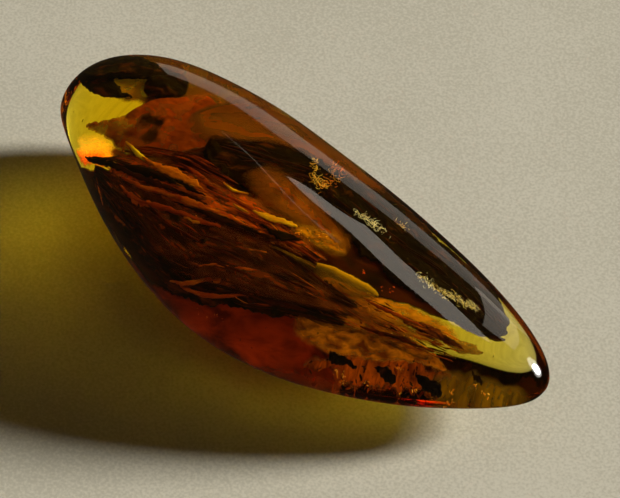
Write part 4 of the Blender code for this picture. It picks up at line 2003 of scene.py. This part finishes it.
@dataclass(frozen=True)
class Softbox:
    """A soft light that faces the stone.

    Attributes:
        name: its name.
        azimuth: its direction from the stone, in degrees from X towards Y.
        elevation: its height above the table, in degrees.
        size: its width and height in metres.
        radiance: how bright its face is, or for a round one the rectangle round it.
        colour: its colour.
        away: its distance in metres.
        turn: how far it is turned about its direction, in degrees.
        face: the shape of its face.
        reach: what it shows in.
    """

    name: str
    azimuth: float
    elevation: float
    size: tuple[float, float]
    radiance: float
    colour: Colour = (1.0, 0.9, 0.76)
    away: float = 0.7
    turn: float = 0.0
    face: Face = Face.RECTANGLE
    reach: Reach = Reach.SHINE

    def build(self) -> None:
        """Makes the light."""
        lamp = bpy.data.lights.new(self.name, "AREA")
        lamp.shape = self.face.value
        lamp.size, lamp.size_y = self.size
        lamp.energy = self.radiance * math.pi * self.size[0] * self.size[1]
        lamp.color = self.colour
        way = direction(self.azimuth, self.elevation)
        facing = way.to_track_quat("Z", "Y")
        obj = bpy.data.objects.new(self.name, lamp)
        obj.location = way * self.away
        obj.rotation_euler = (facing @ Quaternion((0.0, 0.0, 1.0), math.radians(self.turn))).to_euler()
        obj.visible_diffuse, obj.visible_glossy = self.reach.value
        bpy.context.scene.collection.objects.link(obj)


KEY_COLOUR: Colour = (1.0, 0.985, 0.92)
SOFTBOXES = (
    Softbox("key", 50.0, 20.0, (0.6, 0.6), 158.0, KEY_COLOUR, 3.0, 0.0, Face.ROUND, Reach.EVERYTHING),
    Softbox("key_halo", 50.0, 20.0, (1.1, 1.1), 5.0, KEY_COLOUR, 2.9, 0.0, Face.ROUND),
    Softbox("low_strip", 106.0, 7.0, (0.66, 0.25), 0.7),
    Softbox("high_strip", 71.0, 52.5, (0.42, 0.13), 2.3, turn=-14.0),
    Softbox("joining_strip", 73.0, 26.0, (0.11, 0.50), 1.3, turn=37.0),
    Softbox("thin_strip", 106.0, 60.0, (0.34, 0.012), 0.9, turn=-42.0),
    Softbox("inner_fill", -25.0, 28.0, (0.5, 0.4), 2.0, reach=Reach.INSIDE),
)


@dataclass
class Studio:
    """The table, the soft lights and the camera.

    Attributes:
        azimuth: the camera's direction from the stone, in degrees from X towards Y.
        elevation: its height above the table, in degrees.
        distance: how far it is from its target.
        lens: its focal length.
        sensor: its sensor's width.
        clip: the nearest and farthest that it sees, in metres.
        target: what it looks at.
        sky: the sky's colour.
        sky_strength: the sky's strength.
        table_half: half the table's width in metres.
        table_drop: how far the table lies under the stone, in metres.
    """

    azimuth: float = -52.1
    elevation: float = 50.0
    distance: float = 260.0
    lens: float = 185.06
    sensor: float = 36.0
    clip: Range = (0.01, 20.0)
    target: Point = (1.86, 1.49, 5.59)
    sky: Colour = (1.0, 0.70, 0.38)
    sky_strength: float = 0.026
    table_half: float = 3.0
    table_drop: float = 2e-4

    def table(self) -> None:
        """Makes the table top, a square on which the stone stands."""
        mesh = bpy.data.meshes.new("table")
        corners = ((-1, -1), (1, -1), (1, 1), (-1, 1))
        places = [(x * self.table_half, y * self.table_half, -self.table_drop) for x, y in corners]
        mesh.from_pydata(places, [], [(0, 1, 2, 3)])
        mesh.materials.append(Table().material())
        table = bpy.data.objects.new("table", mesh)
        bpy.context.scene.collection.objects.link(table)
        table.visible_glossy = False

    def light(self) -> None:
        """Makes the sky and the softboxes."""
        world = bpy.data.worlds.new("sky")
        world.use_nodes = True
        back = world.node_tree.nodes["Background"]
        back.inputs["Color"].default_value = (*self.sky, 1.0)
        back.inputs["Strength"].default_value = self.sky_strength
        bpy.context.scene.world = world
        for softbox in SOFTBOXES:
            softbox.build()

    def camera(self) -> None:
        """Makes the camera, which looks at its target from the photo's angle."""
        scene = bpy.context.scene
        data = bpy.data.cameras.new("camera")
        data.lens = self.lens
        data.sensor_width = self.sensor
        data.clip_start, data.clip_end = self.clip
        camera = bpy.data.objects.new("camera", data)
        back = direction(self.azimuth, self.elevation)
        camera.location = (Vector(self.target) + back * self.distance) * MM
        camera.rotation_euler = (-back).to_track_quat("-Z", "Y").to_euler()
        scene.collection.objects.link(camera)
        scene.camera = camera
        scene.view_settings.view_transform = "Standard"

    def build(self) -> None:
        """Makes everything."""
        self.table()
        self.light()
        self.camera()


def main() -> None:
    """Builds the stone, what is in it and the studio around it."""
    logging.basicConfig(level=logging.INFO, format="%(name)s %(message)s")
    Studio().build()
    stone = Stone()
    stone.build()
    inclusions = Inclusions(stone)
    inclusions.bark()
    inclusions.leaf()
    inclusions.wood()
    inclusions.crumbs()
    Filling(stone).build()


if __name__ == "__main__":
    main()
